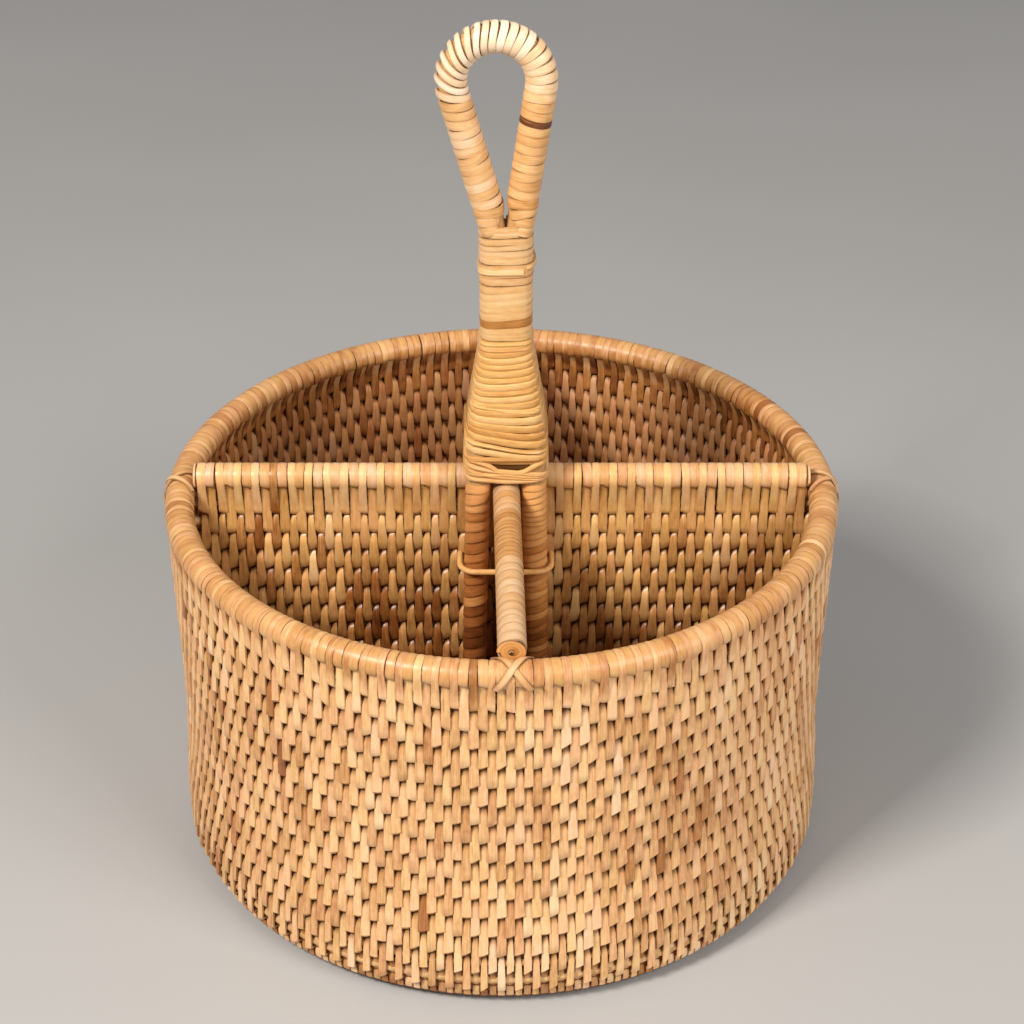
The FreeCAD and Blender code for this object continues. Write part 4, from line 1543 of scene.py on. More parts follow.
@dataclass
class BaseWeave:
    """The stitched floor of the basket."""

    finish: bpy.types.Material
    seed: int = 61

    def border(self) -> None:
        """Lay the flat border strip under the weave's edge, against the base hoop."""
        low, high = node_box("base_weave")
        azimuth = np.linspace(0, math.tau, BORDER_STATIONS, endpoint=False)[None]
        centre = polar(high[0] - BASE_BORDER_WIDTH / 2 - SKIN_SINK, azimuth, low[2] + PEEL_THICKNESS)
        every = np.ones(azimuth.shape)
        # Its depth of 0.6 paints a little hollow shade into it.
        course = Course(
            centre, np.broadcast_to(UP, centre.shape), width=every * BASE_BORDER_WIDTH,
            thickness=every * PEEL_THICKNESS, tone=np.array([0.1]), depth=every * 0.6,
        )
        strip = lay("base_border_strip", ring_stock(BORDER_STATIONS, FLAT_SECTION), course, 190)
        dress(strip, self.finish, Slot.WEAVE)

    def build(self) -> None:
        """Make the floor's border strip and its stitches."""
        self.border()
        low, high = node_box("base_weave")
        radius = float(high[0]) - 1.0
        columns = int(2 * radius / PANEL_COLUMN_PITCH)
        column, top, bottom = brick_rows(columns, row_bounds(bar_rows("base_ribs", 1)), (0, 1))
        place = (column + 0.5 - columns / 2) * PANEL_COLUMN_PITCH
        half = np.sqrt(np.maximum(radius ** 2 - place ** 2, 0))
        top, bottom = np.minimum(top, half), np.maximum(bottom, -half)
        keep = top - bottom > SHORTEST_STITCH
        column, top, bottom, place = column[keep], top[keep], bottom[keep], place[keep]
        plan = StitchPlan(column, top, bottom, PANEL_COLUMN_PITCH, self.seed, PANEL_STITCH,
                          out_scale=float(high[2] - low[2]) / 6.2)
        loops = plan.loops()
        x = place[:, None] + loops["sideways"]
        level = np.full_like(x, (low[2] + high[2]) / 2)
        centre = np.stack([x, loops["height"], level], axis=-1)
        course = course_from(loops, centre, np.broadcast_to(UP, centre.shape), np.array([0.0, -1.0, 0.0]))
        floor = lay("base_floor", ring_stock(PANEL_STITCH.stations, FLAT_SECTION), course, self.seed + 1)
        dress(floor, self.finish, Slot.WEAVE, "base_weave")


def read_fold_section(profile: WallProfile) -> FoldSection:
    """Read the section of the basket's rim.

    Args:
        profile: The wall's profile.

    Returns:
        The section.
    """
    low, high = node_box("rim_core")
    skin_low, skin_high = node_box("front_left_rim_binding")
    core_radius = float(high[2] - low[2]) / 2
    return FoldSection(
        tube=(float(high[0] - core_radius), float(high[2] + low[2]) / 2),
        tube_radius=float(skin_high[2] - skin_low[2]) / 2,
        wall_middle=float(profile.hoop_radii[-1]), top_bar=float(profile.hoop_heights[-1]),
        row_pitch=float(np.mean(np.diff(profile.hoop_heights))),
    )


@dataclass
class Rim:
    """The basket's rim, folded over in short and long folds, in the wall's own columns."""

    profile: WallProfile
    sectors: list[Sector]
    binding: bpy.types.Material
    weave: bpy.types.Material
    seed: int = 81

    def build(self) -> None:
        """Make the rim's folds, sector by sector."""
        section = read_fold_section(self.profile)
        radius = section.tube[0] + section.tube_radius
        columns = np.arange(WALL_COLUMNS)
        azimuth = columns * math.tau / WALL_COLUMNS
        for number, sector in enumerate(self.sectors):
            chosen = sector.holds(azimuth)
            folds = FoldedBorder(RoundLine(radius), section, azimuth[chosen] * radius, columns[chosen] % 2,
                                 self.seed + 10 * number)
            finishes = (self.binding, self.weave, self.weave)
            folds.build(sector.name + "_rim", finishes, sector.name + "_rim_binding")


# ---------------------------------------------------------------- rails, legs and handle
@dataclass
class WoundRail:
    """A half divider's rail, wound with peel from the handle out to the rim, and its end face."""

    name: str
    outward_sign: int
    finish: bpy.types.Material
    end_finish: bpy.types.Material
    seed: int

    def build(self) -> None:
        """Make the winding and the coil on the rail's end."""
        node = self.name + "_rail_binding"
        near, far = rod_ends(node, 1)
        if self.outward_sign < 0:
            near, far = far, near
        low, high = node_box(node)
        radius = float(high[2] - low[2]) / 2
        share = np.linspace(0, 1, 30)[:, None]
        core = Core.along(near + (far - near) * share, UP, (radius, radius))
        middles = np.linspace(0, 1, 200)
        wanted = np.where((middles > 0.22) & (middles < 0.52), CLOSE_PITCH, OPEN_PITCH)
        rng = np.random.default_rng(self.seed)
        pitches = pitches_along(
            core.length, lambda at: float(np.interp(at / core.length, middles, wanted)) * rng.normal(1, 0.12))
        # Painted shade: close turns are darker than open ones.
        tone = np.where(pitches < CLOSE_LIMIT, CLOSE_SHADE_TONE, OPEN_TONE)
        winding = Winding(
            core, pitches, tone, self.seed, slant=rng.normal(0.2, 0.25, len(pitches)), edge_lift=0.16,
            front_deg=90.0, phase_deg=-90.0, thickness=RAIL_PEEL_THICKNESS, tone_spread=0.04,
        )
        dress(winding.build(self.name + "_rail_winding"), self.finish, Slot.BINDING, node)
        lay_end_coil(self.name + "_rail_end", far, unit(far - near), radius, self.end_finish, self.seed + 5)


@dataclass
class Leg:
    """One bound leg of the handle."""

    name: str
    pitch: float
    # shift: tone added to the whole leg; the right legs get more, painted light that lifts the front rail's
    # shadow on them.
    shift: float
    finish: bpy.types.Material
    seed: int

    def build(self) -> None:
        """Wind the leg from its top down."""
        node = self.name + "_leg_binding"
        foot, top = rod_ends(node, 2)
        low, high = node_box(node)
        radius = float(high[1] - low[1]) / 2
        share = np.linspace(0, 1, 30)[:, None]
        core = Core.along(top + (foot - top) * share, [0, 1, 0], (radius, radius))
        pitches = pitch_list(core.length, self.pitch, self.seed, 0.14)
        share = np.arange(len(pitches)) / len(pitches)
        # Painted shade down the leg, plus the leg's painted light shift.
        tone = np.interp(share, LEG_TONE_SHARES, LEG_SHADE_TONES) + self.shift
        winding = Winding(
            core, pitches, tone, self.seed, thickness=0.6, crown=0.14, edge_lift=0.24, slant=0.5,
            slant_jitter=0.35, sag=0.7, tone_spread=0.12, per_turn=20,
        )
        dress(winding.build(self.name + "_leg_winding"), self.finish, Slot.LEG, node)


@dataclass(frozen=True)
class LoopLine:
    """The line of the two strands and of the loop that they make above the bands."""

    middle_x: float
    plane_y: float
    rod_radius: float
    strand_radius: float
    loop_radius: float
    loop_centre: tuple[float, float]
    split_height: float
    base_height: float

    @classmethod
    def read(cls, split_rise: float = 3.35) -> "LoopLine":
        """Read the loop from the frame.

        Args:
            split_rise: How far above the bands the strands part.

        Returns:
            The loop's line.
        """
        low, high = node_box("loop_binding")
        band_low, band_high = node_box("upper_band")
        rod = node_points("handle_rod")
        foot = rod[rod[:, 2] < rod[:, 2].min() + 1.0]
        left = foot[foot[:, 0] < (band_low[0] + band_high[0]) / 2]
        strand = float(high[1] - low[1]) / 2
        radius = float(high[0] - low[0]) / 2 - strand
        return cls(
            middle_x=float(band_low[0] + band_high[0]) / 2, plane_y=float(low[1] + high[1]) / 2,
            rod_radius=float(np.ptp(left[:, 0])) / 2, strand_radius=strand, loop_radius=radius,
            loop_centre=(float(low[0] + high[0]) / 2, float(high[2]) - strand - radius),
            split_height=float(band_high[2]) + split_rise, base_height=float(low[2]),
        )

    def split(self, side: int) -> Array:
        """Give where a strand starts.

        Args:
            side: -1 for the left strand, 1 for the right one.

        Returns:
            Its x and z.
        """
        return np.array([self.middle_x + side * (self.rod_radius + 0.05), self.split_height])

    def tangent(self, side: int) -> Array:
        """Give where a strand runs into the loop's arc.

        Args:
            side: -1 for the left strand, 1 for the right one.

        Returns:
            Its x and z.
        """
        start = self.split(side)
        toward = np.array(self.loop_centre) - start
        distance = float(np.hypot(*toward))
        heading = math.atan2(toward[1], toward[0]) - side * math.asin(self.loop_radius / distance)
        reach = math.sqrt(distance ** 2 - self.loop_radius ** 2)
        return start + reach * np.array([math.cos(heading), math.sin(heading)])

    def strand_x(self, side: int, height: Array) -> Array:
        """Give a straight strand's x at a height.

        Args:
            side: -1 for the left strand, 1 for the right one.
            height: Heights in millimetres.

        Returns:
            The x at each height.
        """
        start, end = self.split(side), self.tangent(side)
        share = (np.maximum(height, start[1]) - start[1]) / (end[1] - start[1])
        return start[0] + (end[0] - start[0]) * share

    def crotch_height(self) -> float:
        """Give the height where the two wound strands just clear each other.

        Returns:
            The height in millimetres.
        """
        heights = np.linspace(self.split_height, self.loop_centre[1], 400)
        opening = self.strand_x(1, heights) - self.strand_x(-1, heights)
        return float(np.interp(2 * self.strand_radius + 0.4, opening, heights))

    def inner_reach(self, height: Array) -> Array:
        """Give how far the wound strands' inner sides stay from the middle below the crotch.

        Args:
            height: Heights in millimetres.

        Returns:
            The distance at each height; a small hole stays open a little below the crotch.
        """
        crotch = self.crotch_height()
        return np.interp(height, crotch + np.array([-10.0, -8.6, -3.4, -2.0, 0.0]), [0.2, 1.8, 1.8, 0.2, 0.2])

    def strand(self, side: int, height: Array) -> tuple[Array, Array]:
        """Give a wound strand's middle and half width at a height, pressed flat against the other strand.

        Args:
            side: -1 for the left strand, 1 for the right one.
            height: Heights in millimetres.

        Returns:
            The x of its middle, and its half width.
        """
        x = self.strand_x(side, height)
        outer = side * (x - self.middle_x) + np.interp(
            height, [self.base_height, self.crotch_height()], [self.rod_radius + 0.9, self.strand_radius])
        inner = np.maximum(side * (x - self.middle_x) - self.strand_radius, self.inner_reach(height))
        return self.middle_x + side * (outer + inner) / 2, (outer - inner) / 2

    def table(self) -> tuple[Array, Array]:
        """Give points up the left strand, over the loop and down the right strand, and the half widths there.

        Returns:
            The points, one a row, and the half widths.
        """
        low = self.base_height + 1.2
        centre = np.array(self.loop_centre)
        left, right = self.tangent(-1) - centre, self.tangent(1) - centre
        start, end = math.atan2(left[1], left[0]), math.atan2(right[1], right[0])
        if start < 0:
            start += math.tau
        turn = np.linspace(start, end, 60)
        arc = centre + self.loop_radius * np.column_stack([np.cos(turn), np.sin(turn)])
        rising = np.linspace(low, self.tangent(-1)[1], 40)[:-1]
        falling = np.linspace(self.tangent(1)[1], low, 40)[1:]
        left_x, left_half = self.strand(-1, rising)
        right_x, right_half = self.strand(1, falling)
        flat = np.vstack([np.column_stack([left_x, rising]), arc, np.column_stack([right_x, falling])])
        halves = np.concatenate([left_half, np.full(len(arc), self.strand_radius), right_half])
        return np.column_stack([flat[:, 0], np.full(len(flat), self.plane_y), flat[:, 1]]), halves


# Loose turns at the neck's foot: heights above the foot in millimetres, at these angles from the right flank.
NECK_ANGLES = (
    -180.0, -150.0, -125.0, -112.0, -104.0, -90.0, -75.0, -62.0, -54.0, -45.0, -30.0, 0.0, 90.0, 180.0,
)
NECK_TURNS = (
    (3.0, 2.4, 2.0, 1.8, 1.6, 1.4, 1.4, 1.5, 1.6, 1.9, 2.8, 5.5, 4.0, 3.0),
    (9.5, 6.4, 4.4, 3.6, 3.3, 3.0, 2.7, 2.4, 2.2, 1.9, 1.4, 1.2, 5.0, 9.5),
    (12.6, 9.0, 6.8, 6.0, 5.6, 5.3, 5.0, 4.6, 4.2, 3.6, 2.8, 1.4, 7.0, 12.6),
    (11.5, 10.6, 9.3, 7.6, 5.6, 4.4, 3.8, 3.4, 3.3, 3.2, 3.0, 3.0, 7.0, 11.5),
    (6.0, 4.8, 4.2, 4.1, 4.1, 4.2, 4.6, 5.6, 7.6, 8.8, 9.0, 9.0, 7.5, 6.0),
    (9.6, 10.0, 10.2, 10.4, 10.4, 10.4, 10.5, 10.5, 10.5, 10.5, 10.4, 9.8, 9.6, 9.6),
    (31.7, 31.3, 30.7, 30.3, 30.0, 29.4, 29.1, 29.0, 28.9, 28.9, 28.9, 29.3, 30.5, 31.7),
)


@dataclass
class Handle:
    """The bound handle above the rails: neck, shaft, two bands and the loop."""

    peel: bpy.types.Material
    cane: bpy.types.Material
    loop_peel: bpy.types.Material
    seed: int = 121
    bare_gap: tuple[float, float] = (-19.5, 314.0)
    dark_band: tuple[float, float] = (13.2, 293.5)

    def build(self) -> None:
        """Make the handle's pieces."""
        self.loop()
        self.collar()
        self.band("upper_band", 2.3, 0.74, 0.10)
        self.band("lower_band", 2.6, 0.64, 0.14)
        self.tucked_ends()
        self.shaft()
        self.neck()

    def loop(self) -> None:
        """Wind the loop: slanted at the upper left, close and square at the sides."""
        line = LoopLine.read()
        points, halves = line.table()
        power = 2.0 + 0.9 * (halves < line.strand_radius)
        core = Core.along(points, [0, -1, 0], (halves, line.strand_radius), power)
        levels = [line.loop_centre[1], points[:, 2].max()]
        pitches = pitches_along(core.length, lambda at: float(
            np.interp(core.sample(core.centre, np.array([at]))[0, 2], levels, LOOP_PITCHES)))
        middles = (np.cumsum(pitches) - pitches / 2) / pitches.sum() * core.length
        places = core.sample(core.centre, middles)
        near = np.hypot(places[:, 0] - self.bare_gap[0], places[:, 2] - self.bare_gap[1])
        dark = np.hypot(places[:, 0] - self.dark_band[0], places[:, 2] - self.dark_band[1])
        slant = -3.0 * np.exp(-((near / 17.0) ** 2)) - 0.5
        cover = 1.02 - 0.34 * np.exp(-((near / 15.0) ** 2))
        # The loop's top takes the palest tone: a painted highlight where the light falls on it.
        tone = np.interp(places[:, 2], [255.0, 300.0, 328.0], [0.56, 0.55, 0.84])
        tone = tone - 0.04 * np.sign(places[:, 0] - places[:, 0].mean())
        tone[np.argmin(dark)] = 0.05
        lift = 0.11 - 0.06 * np.exp(-((near / 17.0) ** 2))
        pitches[np.argmin(dark)] *= 0.65
        winding = Winding(
            core, pitches, tone, self.seed, cover=cover, slant=slant, slant_jitter=0.35, edge_lift=lift,
            front_deg=90.0, phase_deg=-90.0, per_turn=28,
        )
        dress(winding.build("loop_winding"), self.loop_peel, Slot.HANDLE, "loop_binding")

    def collar(self) -> None:
        """Wind the collar round both strands at their foot."""
        line = LoopLine.read()
        heights = np.linspace(line.base_height, line.base_height + COLLAR_HEIGHT, 12)
        left, right = line.strand_x(-1, heights), line.strand_x(1, heights)
        cover = line.strand_radius - line.rod_radius - 0.15
        points = np.column_stack([(left + right) / 2, np.full(len(heights), line.plane_y), heights])
        half_x = (right - left) / 2 + line.rod_radius + cover
        core = Core.along(points, [0, 1, 0], (half_x, line.rod_radius + cover), 3.0)
        pitches = pitch_list(core.length, 2.9, self.seed + 1)
        tone = np.full(len(pitches), 0.6)
        winding = Winding(core, pitches, tone, self.seed + 2, slant=0.5, edge_lift=0.14)
        dress(winding.build("loop_collar"), self.loop_peel, Slot.HANDLE)

    def band(self, node: str, pitch: float, tone: float, lift: float) -> None:
        """Wrap one of the two bands.

        Args:
            node: The band's node.
            pitch: Mean pitch of its turns.
            tone: Its tone.
            lift: How far the turns' edges stand up.
        """
        core = upright_core(node)
        pitches = pitch_list(core.length, pitch, self.seed + 3)
        cover = np.full(len(pitches), 1.02)
        cover[len(pitches) // 2] = 0.84
        winding = Winding(
            core, pitches, np.full(len(pitches), tone), self.seed + 4, crown=0.1, edge_lift=lift, slant=0.25,
            cover=cover,
        )
        dress(winding.build(node + "_winding"), self.peel, Slot.HANDLE, node)

    def tucked_ends(self) -> None:
        """Lay the lower band's last turn, with its cut end in front, and the end tucked in at the right."""
        core = upright_core("lower_band")
        stations = 33
        share = np.linspace(0, 1, stations)
        angle = np.radians(np.array([-215.0 + 160.0 * share, -50.0 + 100.0 * share]))
        distance = np.array([5.35 + 0.25 * share, core.length - 0.9 + 0.2 * share])
        bump = np.sin(math.pi * share)
        sink = np.array([0.20 + np.where(share < 0.1, 0.6 - 6.0 * share, 0.0), 0.45 - 0.95 * bump ** 2])
        points, normal = core.surface(distance, angle, 0.0)
        points = points - normal * sink[..., None]
        every = np.ones((2, stations))
        course = Course(
            points, normal, width=every * [[2.1], [1.5]], thickness=every * 0.7, tone=np.array([0.70, 0.60]),
            depth=every, crown=0.08, shear=every * -0.16, shear_along=normal,
        )
        ends = lay("lower_band_ends", flat_stock(stations - 1), course, self.seed + 12)
        dress(ends, self.peel, Slot.HANDLE)

    def shaft(self) -> None:
        """Wind the straight shaft below the bands; its lowest turn is dark and sags."""
        core = upright_core("shaft_binding")
        pitches = pitch_list(core.length, 2.7, self.seed + 5)
        tone = np.full(len(pitches), 0.64)
        tone[2] = 0.22
        winding = Winding(core, pitches, tone, self.seed + 6, crown=0.12, edge_lift=0.08, slant=0.3, sag=0.4)
        dress(winding.build("shaft_winding"), self.peel, Slot.HANDLE, "shaft_binding")

    def neck(self) -> None:
        """Wind the neck with round cane, whose turns sag to the right low down and cross at its foot."""
        core = upright_core("neck_binding")
        pitches = pitch_list(core.length, 2.5, self.seed + 7)
        height = np.cumsum(pitches) - pitches / 2
        cover = np.full(len(pitches), 1.12)
        cover[np.argmin(np.abs(height - 16.5))] = 0.62
        covered = [9.5, 12.5]
        # The low turns under the crossing canes sit deeper and get a low shade: painted shade in that hollow.
        winding = Winding(
            core, pitches, np.full(len(pitches), 0.56), self.seed + 8, NECK_CANE_DIAMETER, cover=cover,
            recess=np.interp(height, covered, [1.3, 0.1]), shade=np.interp(height, covered, [0.05, 1.0]),
            slant=np.interp(height, [10.0, 15.0, 34.0], [0.0, -3.6, 0.3]), sag=1.5, per_turn=36,
            round_cane=True,
        )
        dress(winding.build("neck_canes"), self.cane, Slot.CANE, "neck_binding")
        rng = np.random.default_rng(self.seed + 9)
        stations = 56
        angle = np.linspace(-180.0, 180.0, stations, endpoint=False)
        distance = np.array([np.interp(angle, NECK_ANGLES, heights) for heights in NECK_TURNS])
        distance = distance + rng.normal(0, 0.1, (len(distance), 1))
        near_top = core.length - np.array([[3.6], [1.4]]) + 0.3 * np.cos(np.radians(angle))
        distance = np.clip(np.vstack([distance, near_top]), 1.0, core.length - 1.0)
        points, normal = core.surface(distance, np.radians(np.broadcast_to(angle, distance.shape)), 1.0)
        every = np.ones(distance.shape)
        course = Course(points, normal, width=every * 2.1, thickness=every * 1.9,
                        tone=np.clip(rng.normal(0.64, 0.08, len(distance)), 0, 1), depth=every, crown=0.0)
        overlay = lay("neck_overlay", ring_stock(stations, ROUND_SECTION), course, self.seed + 10)
        dress(overlay, self.cane, Slot.CANE)


@dataclass
class Lashing:
    """Two narrow strips that cross over the rim at a rail's end."""

    name: str
    finish: bpy.types.Material
    seed: int

    def build(self, section: FoldSection) -> None:
        """Make the crossing strips.

        Args:
            section: The rim's section.
        """
        node = self.name + "_rim_lashing"
        low, high = node_box(node)
        centre = (low + high) / 2
        azimuth = math.atan2(centre[1], centre[0])
        stations = 19
        share = np.linspace(-1, 1, stations)
        turn = np.radians(np.interp(share, [-1, 1], LASHING_DEG))
        across = np.array([[-1.0], [1.0]]) * (share * LASHING_SPREAD + 0.4)
        crossing = np.array([[0.0], [LASHING_CROSSING_RISE]]) * np.exp(-((share / 0.35) ** 2))
        reach = section.tube_radius + LASHING_LIFT + crossing
        radius = section.tube[0] + reach * np.cos(turn)
        height = section.tube[1] + reach * np.sin(turn)
        azimuths = azimuth + across / section.tube[0]
        normal = polar(1.0, azimuths, 0 * across) * np.cos(turn)[:, None] + UP * np.sin(turn)[:, None]
        every = np.ones((2, stations))
        course = Course(
            polar(radius, azimuths, height), normal, width=every * LASHING_WIDTH,
            thickness=every * LASHING_THICKNESS, tone=np.array([0.6, 0.75]), depth=every, crown=0.08,
        )
        strips = lay(self.name + "_lashing", flat_stock(stations - 1), course, self.seed)
        dress(strips, self.finish, Slot.LASHING, node)


# ---------------------------------------------------------------- finishes
def linear(code: str) -> tuple[float, float, float, float]:
    """Turn an sRGB hex code into a linear colour.

    Args:
        code: Six hex digits.

    Returns:
        Linear red, green, blue and full alpha.
    """
    shares = [int(code[start:start + 2], 16) / 255 for start in (0, 2, 4)]
    red, green, blue = (
        share / 12.92 if share <= 0.04045 else ((share + 0.055) / 1.055) ** 2.4 for share in shares
    )
    return red, green, blue, 1.0


class Nodes:
    """Adds shader nodes to one material, each with its settings and links."""

    def __init__(self, material: bpy.types.Material) -> None:
        """Start on a material's empty node tree.

        Args:
            material: The material.
        """
        self.tree = material.node_tree
        self.tree.nodes.clear()

    def add(self, kind: str, inputs: dict | None = None, **settings: object) -> bpy.types.Node:
        """Add a node.

        Args:
            kind: The node's type name, without ShaderNode.
            inputs: Values or sockets by input name or number.
            **settings: Properties of the node.

        Returns:
            The node.
        """
        node = self.tree.nodes.new("ShaderNode" + kind)
        for key, value in settings.items():
            setattr(node, key, value)
        for key, value in (inputs or {}).items():
            if isinstance(value, bpy.types.NodeSocket):
                self.tree.links.new(value, node.inputs[key])
            else:
                node.inputs[key].default_value = value
        return node

    def math(
        self, operation: str, first: object, second: object = 0.0, clamp: bool = False,
    ) -> bpy.types.NodeSocket:
        """Add a math node.

        Args:
            operation: The operation.
            first: First value or socket.
            second: Second value or socket.
            clamp: Whether the result is kept from 0 to 1.

        Returns:
            The result.
        """
        return self.add("Math", {0: first, 1: second}, operation=operation, use_clamp=clamp).outputs[0]

    def ramp(self, value: bpy.types.NodeSocket, stops: Sequence[tuple[float, str]]) -> bpy.types.NodeSocket:
        """Add a colour ramp.

        Args:
            value: The socket that it reads.
            stops: Positions and sRGB hex codes.

        Returns:
            The colour.
        """
        node = self.add("ValToRGB", {0: value})
        elements = node.color_ramp.elements
        while len(elements) < len(stops):
            elements.new(0.5)
        for element, (position, code) in zip(elements, stops):
            element.position = position
            element.color = linear(code)
        return node.outputs[0]

    def blend(self, share: object, first: object, second: object, kind: str = "MIX") -> bpy.types.NodeSocket:
        """Mix two colours.

        Args:
            share: Share of the second colour.
            first: First colour or socket.
            second: Second colour or socket.
            kind: How they are mixed.

        Returns:
            The colour.
        """
        settings = {"data_type": "RGBA", "blend_type": kind, "clamp_factor": True}
        return self.add("Mix", {0: share, 6: first, 7: second}, **settings).outputs[2]


def new_material(name: str) -> tuple[bpy.types.Material, Nodes]:
    """Make a material with an empty node tree.

    Args:
        name: The material's name.

    Returns:
        The material, and what adds its nodes.
    """
    material = bpy.data.materials.new(name)
    material.use_nodes = True
    return material, Nodes(material)


@dataclass(frozen=True)
class PeelFinish:
    """Split rattan peel: its tones, and the shade painted into its crevices, hollows, edges and inner side.
    """

    name: str
    deep: str
    brown: str
    honey: str
    pale: str
    # The crevice colour is painted shade, used in the crevices and along strip edges.
    crevice_shade: str = "3A2010"
    # inside: how much darker the inner side is painted, as painted shade.
    inside: float = 0.0
    roughness: float = 0.44
    coat: float = 0.12
    grain: float = 0.5
    # The edge share darkens strip edges toward the crevice colour: painted shade in the seams.
    edge_shade: float = 0.25

    def build(self) -> bpy.types.Material:
        """Make the material.

        Returns:
            The material.
        """
        material, nodes = new_material(self.name)
        peel = nodes.add("UVMap", uv_map=UV_NAME).outputs[0]
        place = nodes.add("TexCoord").outputs["Object"]
        tone, depth, across, hue = (
            nodes.add("Attribute", attribute_name=name).outputs["Fac"]
            for name in ("tone", "depth", "across", "hue")
        )

        # fibres a few tenths of a millimetre wide and some centimetres long
        fibre_place = nodes.add("Mapping", {0: peel, 3: (0.05, 2.4, 1.0)}).outputs[0]
        fibre_noise = {0: fibre_place, "Scale": 1.0, "Detail": 4.0, "Roughness": 0.62}
        fibre = nodes.add("TexNoise", fibre_noise).outputs["Fac"]
        # stains some 3 mm long, and weathering over some 4 cm
        stain_place = nodes.add("Mapping", {0: peel, 3: (0.22, 0.6, 1.0)}).outputs[0]
        stain = nodes.add("TexNoise", {0: stain_place, "Scale": 1.0, "Detail": 3.0}).outputs["Fac"]
        weather = nodes.add("TexNoise", {0: place, "Scale": 26.0, "Detail": 2.0}).outputs["Fac"]

        level = nodes.math("MULTIPLY_ADD", nodes.math("SUBTRACT", fibre, 0.5), 0.42 * self.grain / 0.5)
        level.node.inputs[2].default_value = 0.0
        level = nodes.math("ADD", level, tone)
        for noise, strength, clamp in ((stain, 0.34, False), (weather, 0.3, True)):
            change = nodes.math("MULTIPLY", nodes.math("SUBTRACT", noise, 0.5), strength)
            level = nodes.math("ADD", level, change, clamp)
        tones = ((0.0, self.deep), (0.30, self.brown), (0.58, self.honey), (0.92, self.pale))
        colour = nodes.ramp(level, tones)

        tint = nodes.blend(hue, linear("FFFCEE"), linear("FFF4F5"))
        colour = nodes.blend(1.0, colour, tint, "MULTIPLY")
        # Painted shade: strip edges darken toward the crevice colour in the seams between strips.
        edge = nodes.math("POWER", nodes.math("ABSOLUTE", across), 5.0)
        colour = nodes.blend(nodes.math("MULTIPLY", edge, self.edge_shade), colour, linear(self.crevice_shade))
        # Painted shade: where a strip lies deep (low depth) it turns brown in the hollows and near black in
        # the crevices, and its specular is lowered there.
        inner = nodes.math("LESS_THAN", depth, 0.0)
        reach = nodes.math("ABSOLUTE", depth)
        if self.inside > 0:
            nearer = nodes.math("SUBTRACT", 1.0, nodes.math("MULTIPLY", inner, 0.18))
            reach = nodes.math("MULTIPLY", reach, nearer)
        hollow_shade = nodes.math("SUBTRACT", 1.0, nodes.math("DIVIDE", reach, 0.92), True)
        colour = nodes.blend(nodes.math("MULTIPLY", hollow_shade, 0.75), colour, linear(self.brown))
        crevice_shade = nodes.math("SUBTRACT", 1.0, nodes.math("DIVIDE", reach, 0.62), True)
        colour = nodes.blend(nodes.math("MULTIPLY", crevice_shade, 0.95), colour, linear(self.crevice_shade))
        # Painted shade on the inner side, where depth is negative.
        if self.inside > 0:
            share = nodes.math("MULTIPLY", inner, self.inside)
            colour = nodes.blend(share, colour, linear(self.brown), "MULTIPLY")

        rough = nodes.math("MULTIPLY_ADD", fibre, 0.22)
        rough.node.inputs[2].default_value = self.roughness - 0.11
        bump = nodes.add("Bump", {"Strength": 0.35, "Distance": 0.00012, "Height": fibre}).outputs[0]
        shader = nodes.add("BsdfPrincipled", {
            "Base Color": colour, "Roughness": rough, "Normal": bump,
            "Specular IOR Level": nodes.math("MULTIPLY", nodes.math("SUBTRACT", 1.0, hollow_shade, True), 0.42),
            "Coat Weight": self.coat, "Coat Roughness": 0.3,
        })
        nodes.add("OutputMaterial", {0: shader.outputs[0]})
        return material


@dataclass(frozen=True)
class PoleFinish:
    """Bare rattan pole or rib: pale pith with short dark pores along it."""

    name: str
    pale: str
    brown: str
    roughness: float = 0.6

    def build(self) -> bpy.types.Material:
        """Make the material.

        Returns:
            The material.
        """
        material, nodes = new_material(self.name)
        place = nodes.add("TexCoord").outputs["Object"]
        # pores about half a millimetre apart, and bands some 2 cm long
        pores = nodes.add("TexNoise", {0: place, "Scale": 900.0, "Detail": 3.0}).outputs["Fac"]
        bands = nodes.add("TexNoise", {0: place, "Scale": 55.0, "Detail": 3.0}).outputs["Fac"]
        pore_level, band_level = nodes.math("MULTIPLY", pores, 0.5), nodes.math("MULTIPLY", bands, 0.6)
        level = nodes.math("ADD", pore_level, band_level, True)
        colour = nodes.ramp(level, ((0.32, self.brown), (0.72, self.pale)))
        bump = nodes.add("Bump", {"Strength": 0.3, "Distance": 0.0001, "Height": pores}).outputs[0]
        shader = nodes.add("BsdfPrincipled", {
            "Base Color": colour, "Roughness": self.roughness, "Normal": bump, "Specular IOR Level": 0.3,
        })
        nodes.add("OutputMaterial", {0: shader.outputs[0]})
        return material


# Peel of the basket's weave: light varnished rattan peel, its inner side painted darker as painted shade
# inside the basket.
WEAVE_PEEL = PeelFinish("rattan_peel_weave", deep="643414", brown="AC7440", honey="E4B986", pale="F3DDBD",
                        crevice_shade="3E1E0A", inside=0.55, coat=0.04, edge_shade=0.14)
# Peel of the dividers: the same, a little browner, with near-black crevices as painted shade in its slits.
DIVIDER_PEEL = PeelFinish("rattan_peel_divider", deep="47200A", brown="925A2A", honey="D2A163", pale="EFCB98",
                          crevice_shade="160802", roughness=0.34, coat=0.25, edge_shade=0.2)
# Peel folded over the rim and wound on the rails.
BINDING_PEEL = PeelFinish("rattan_peel_binding", deep="6A3514", brown="9E6433", honey="C99961", pale="DABA90",
                          roughness=0.4, coat=0.12)
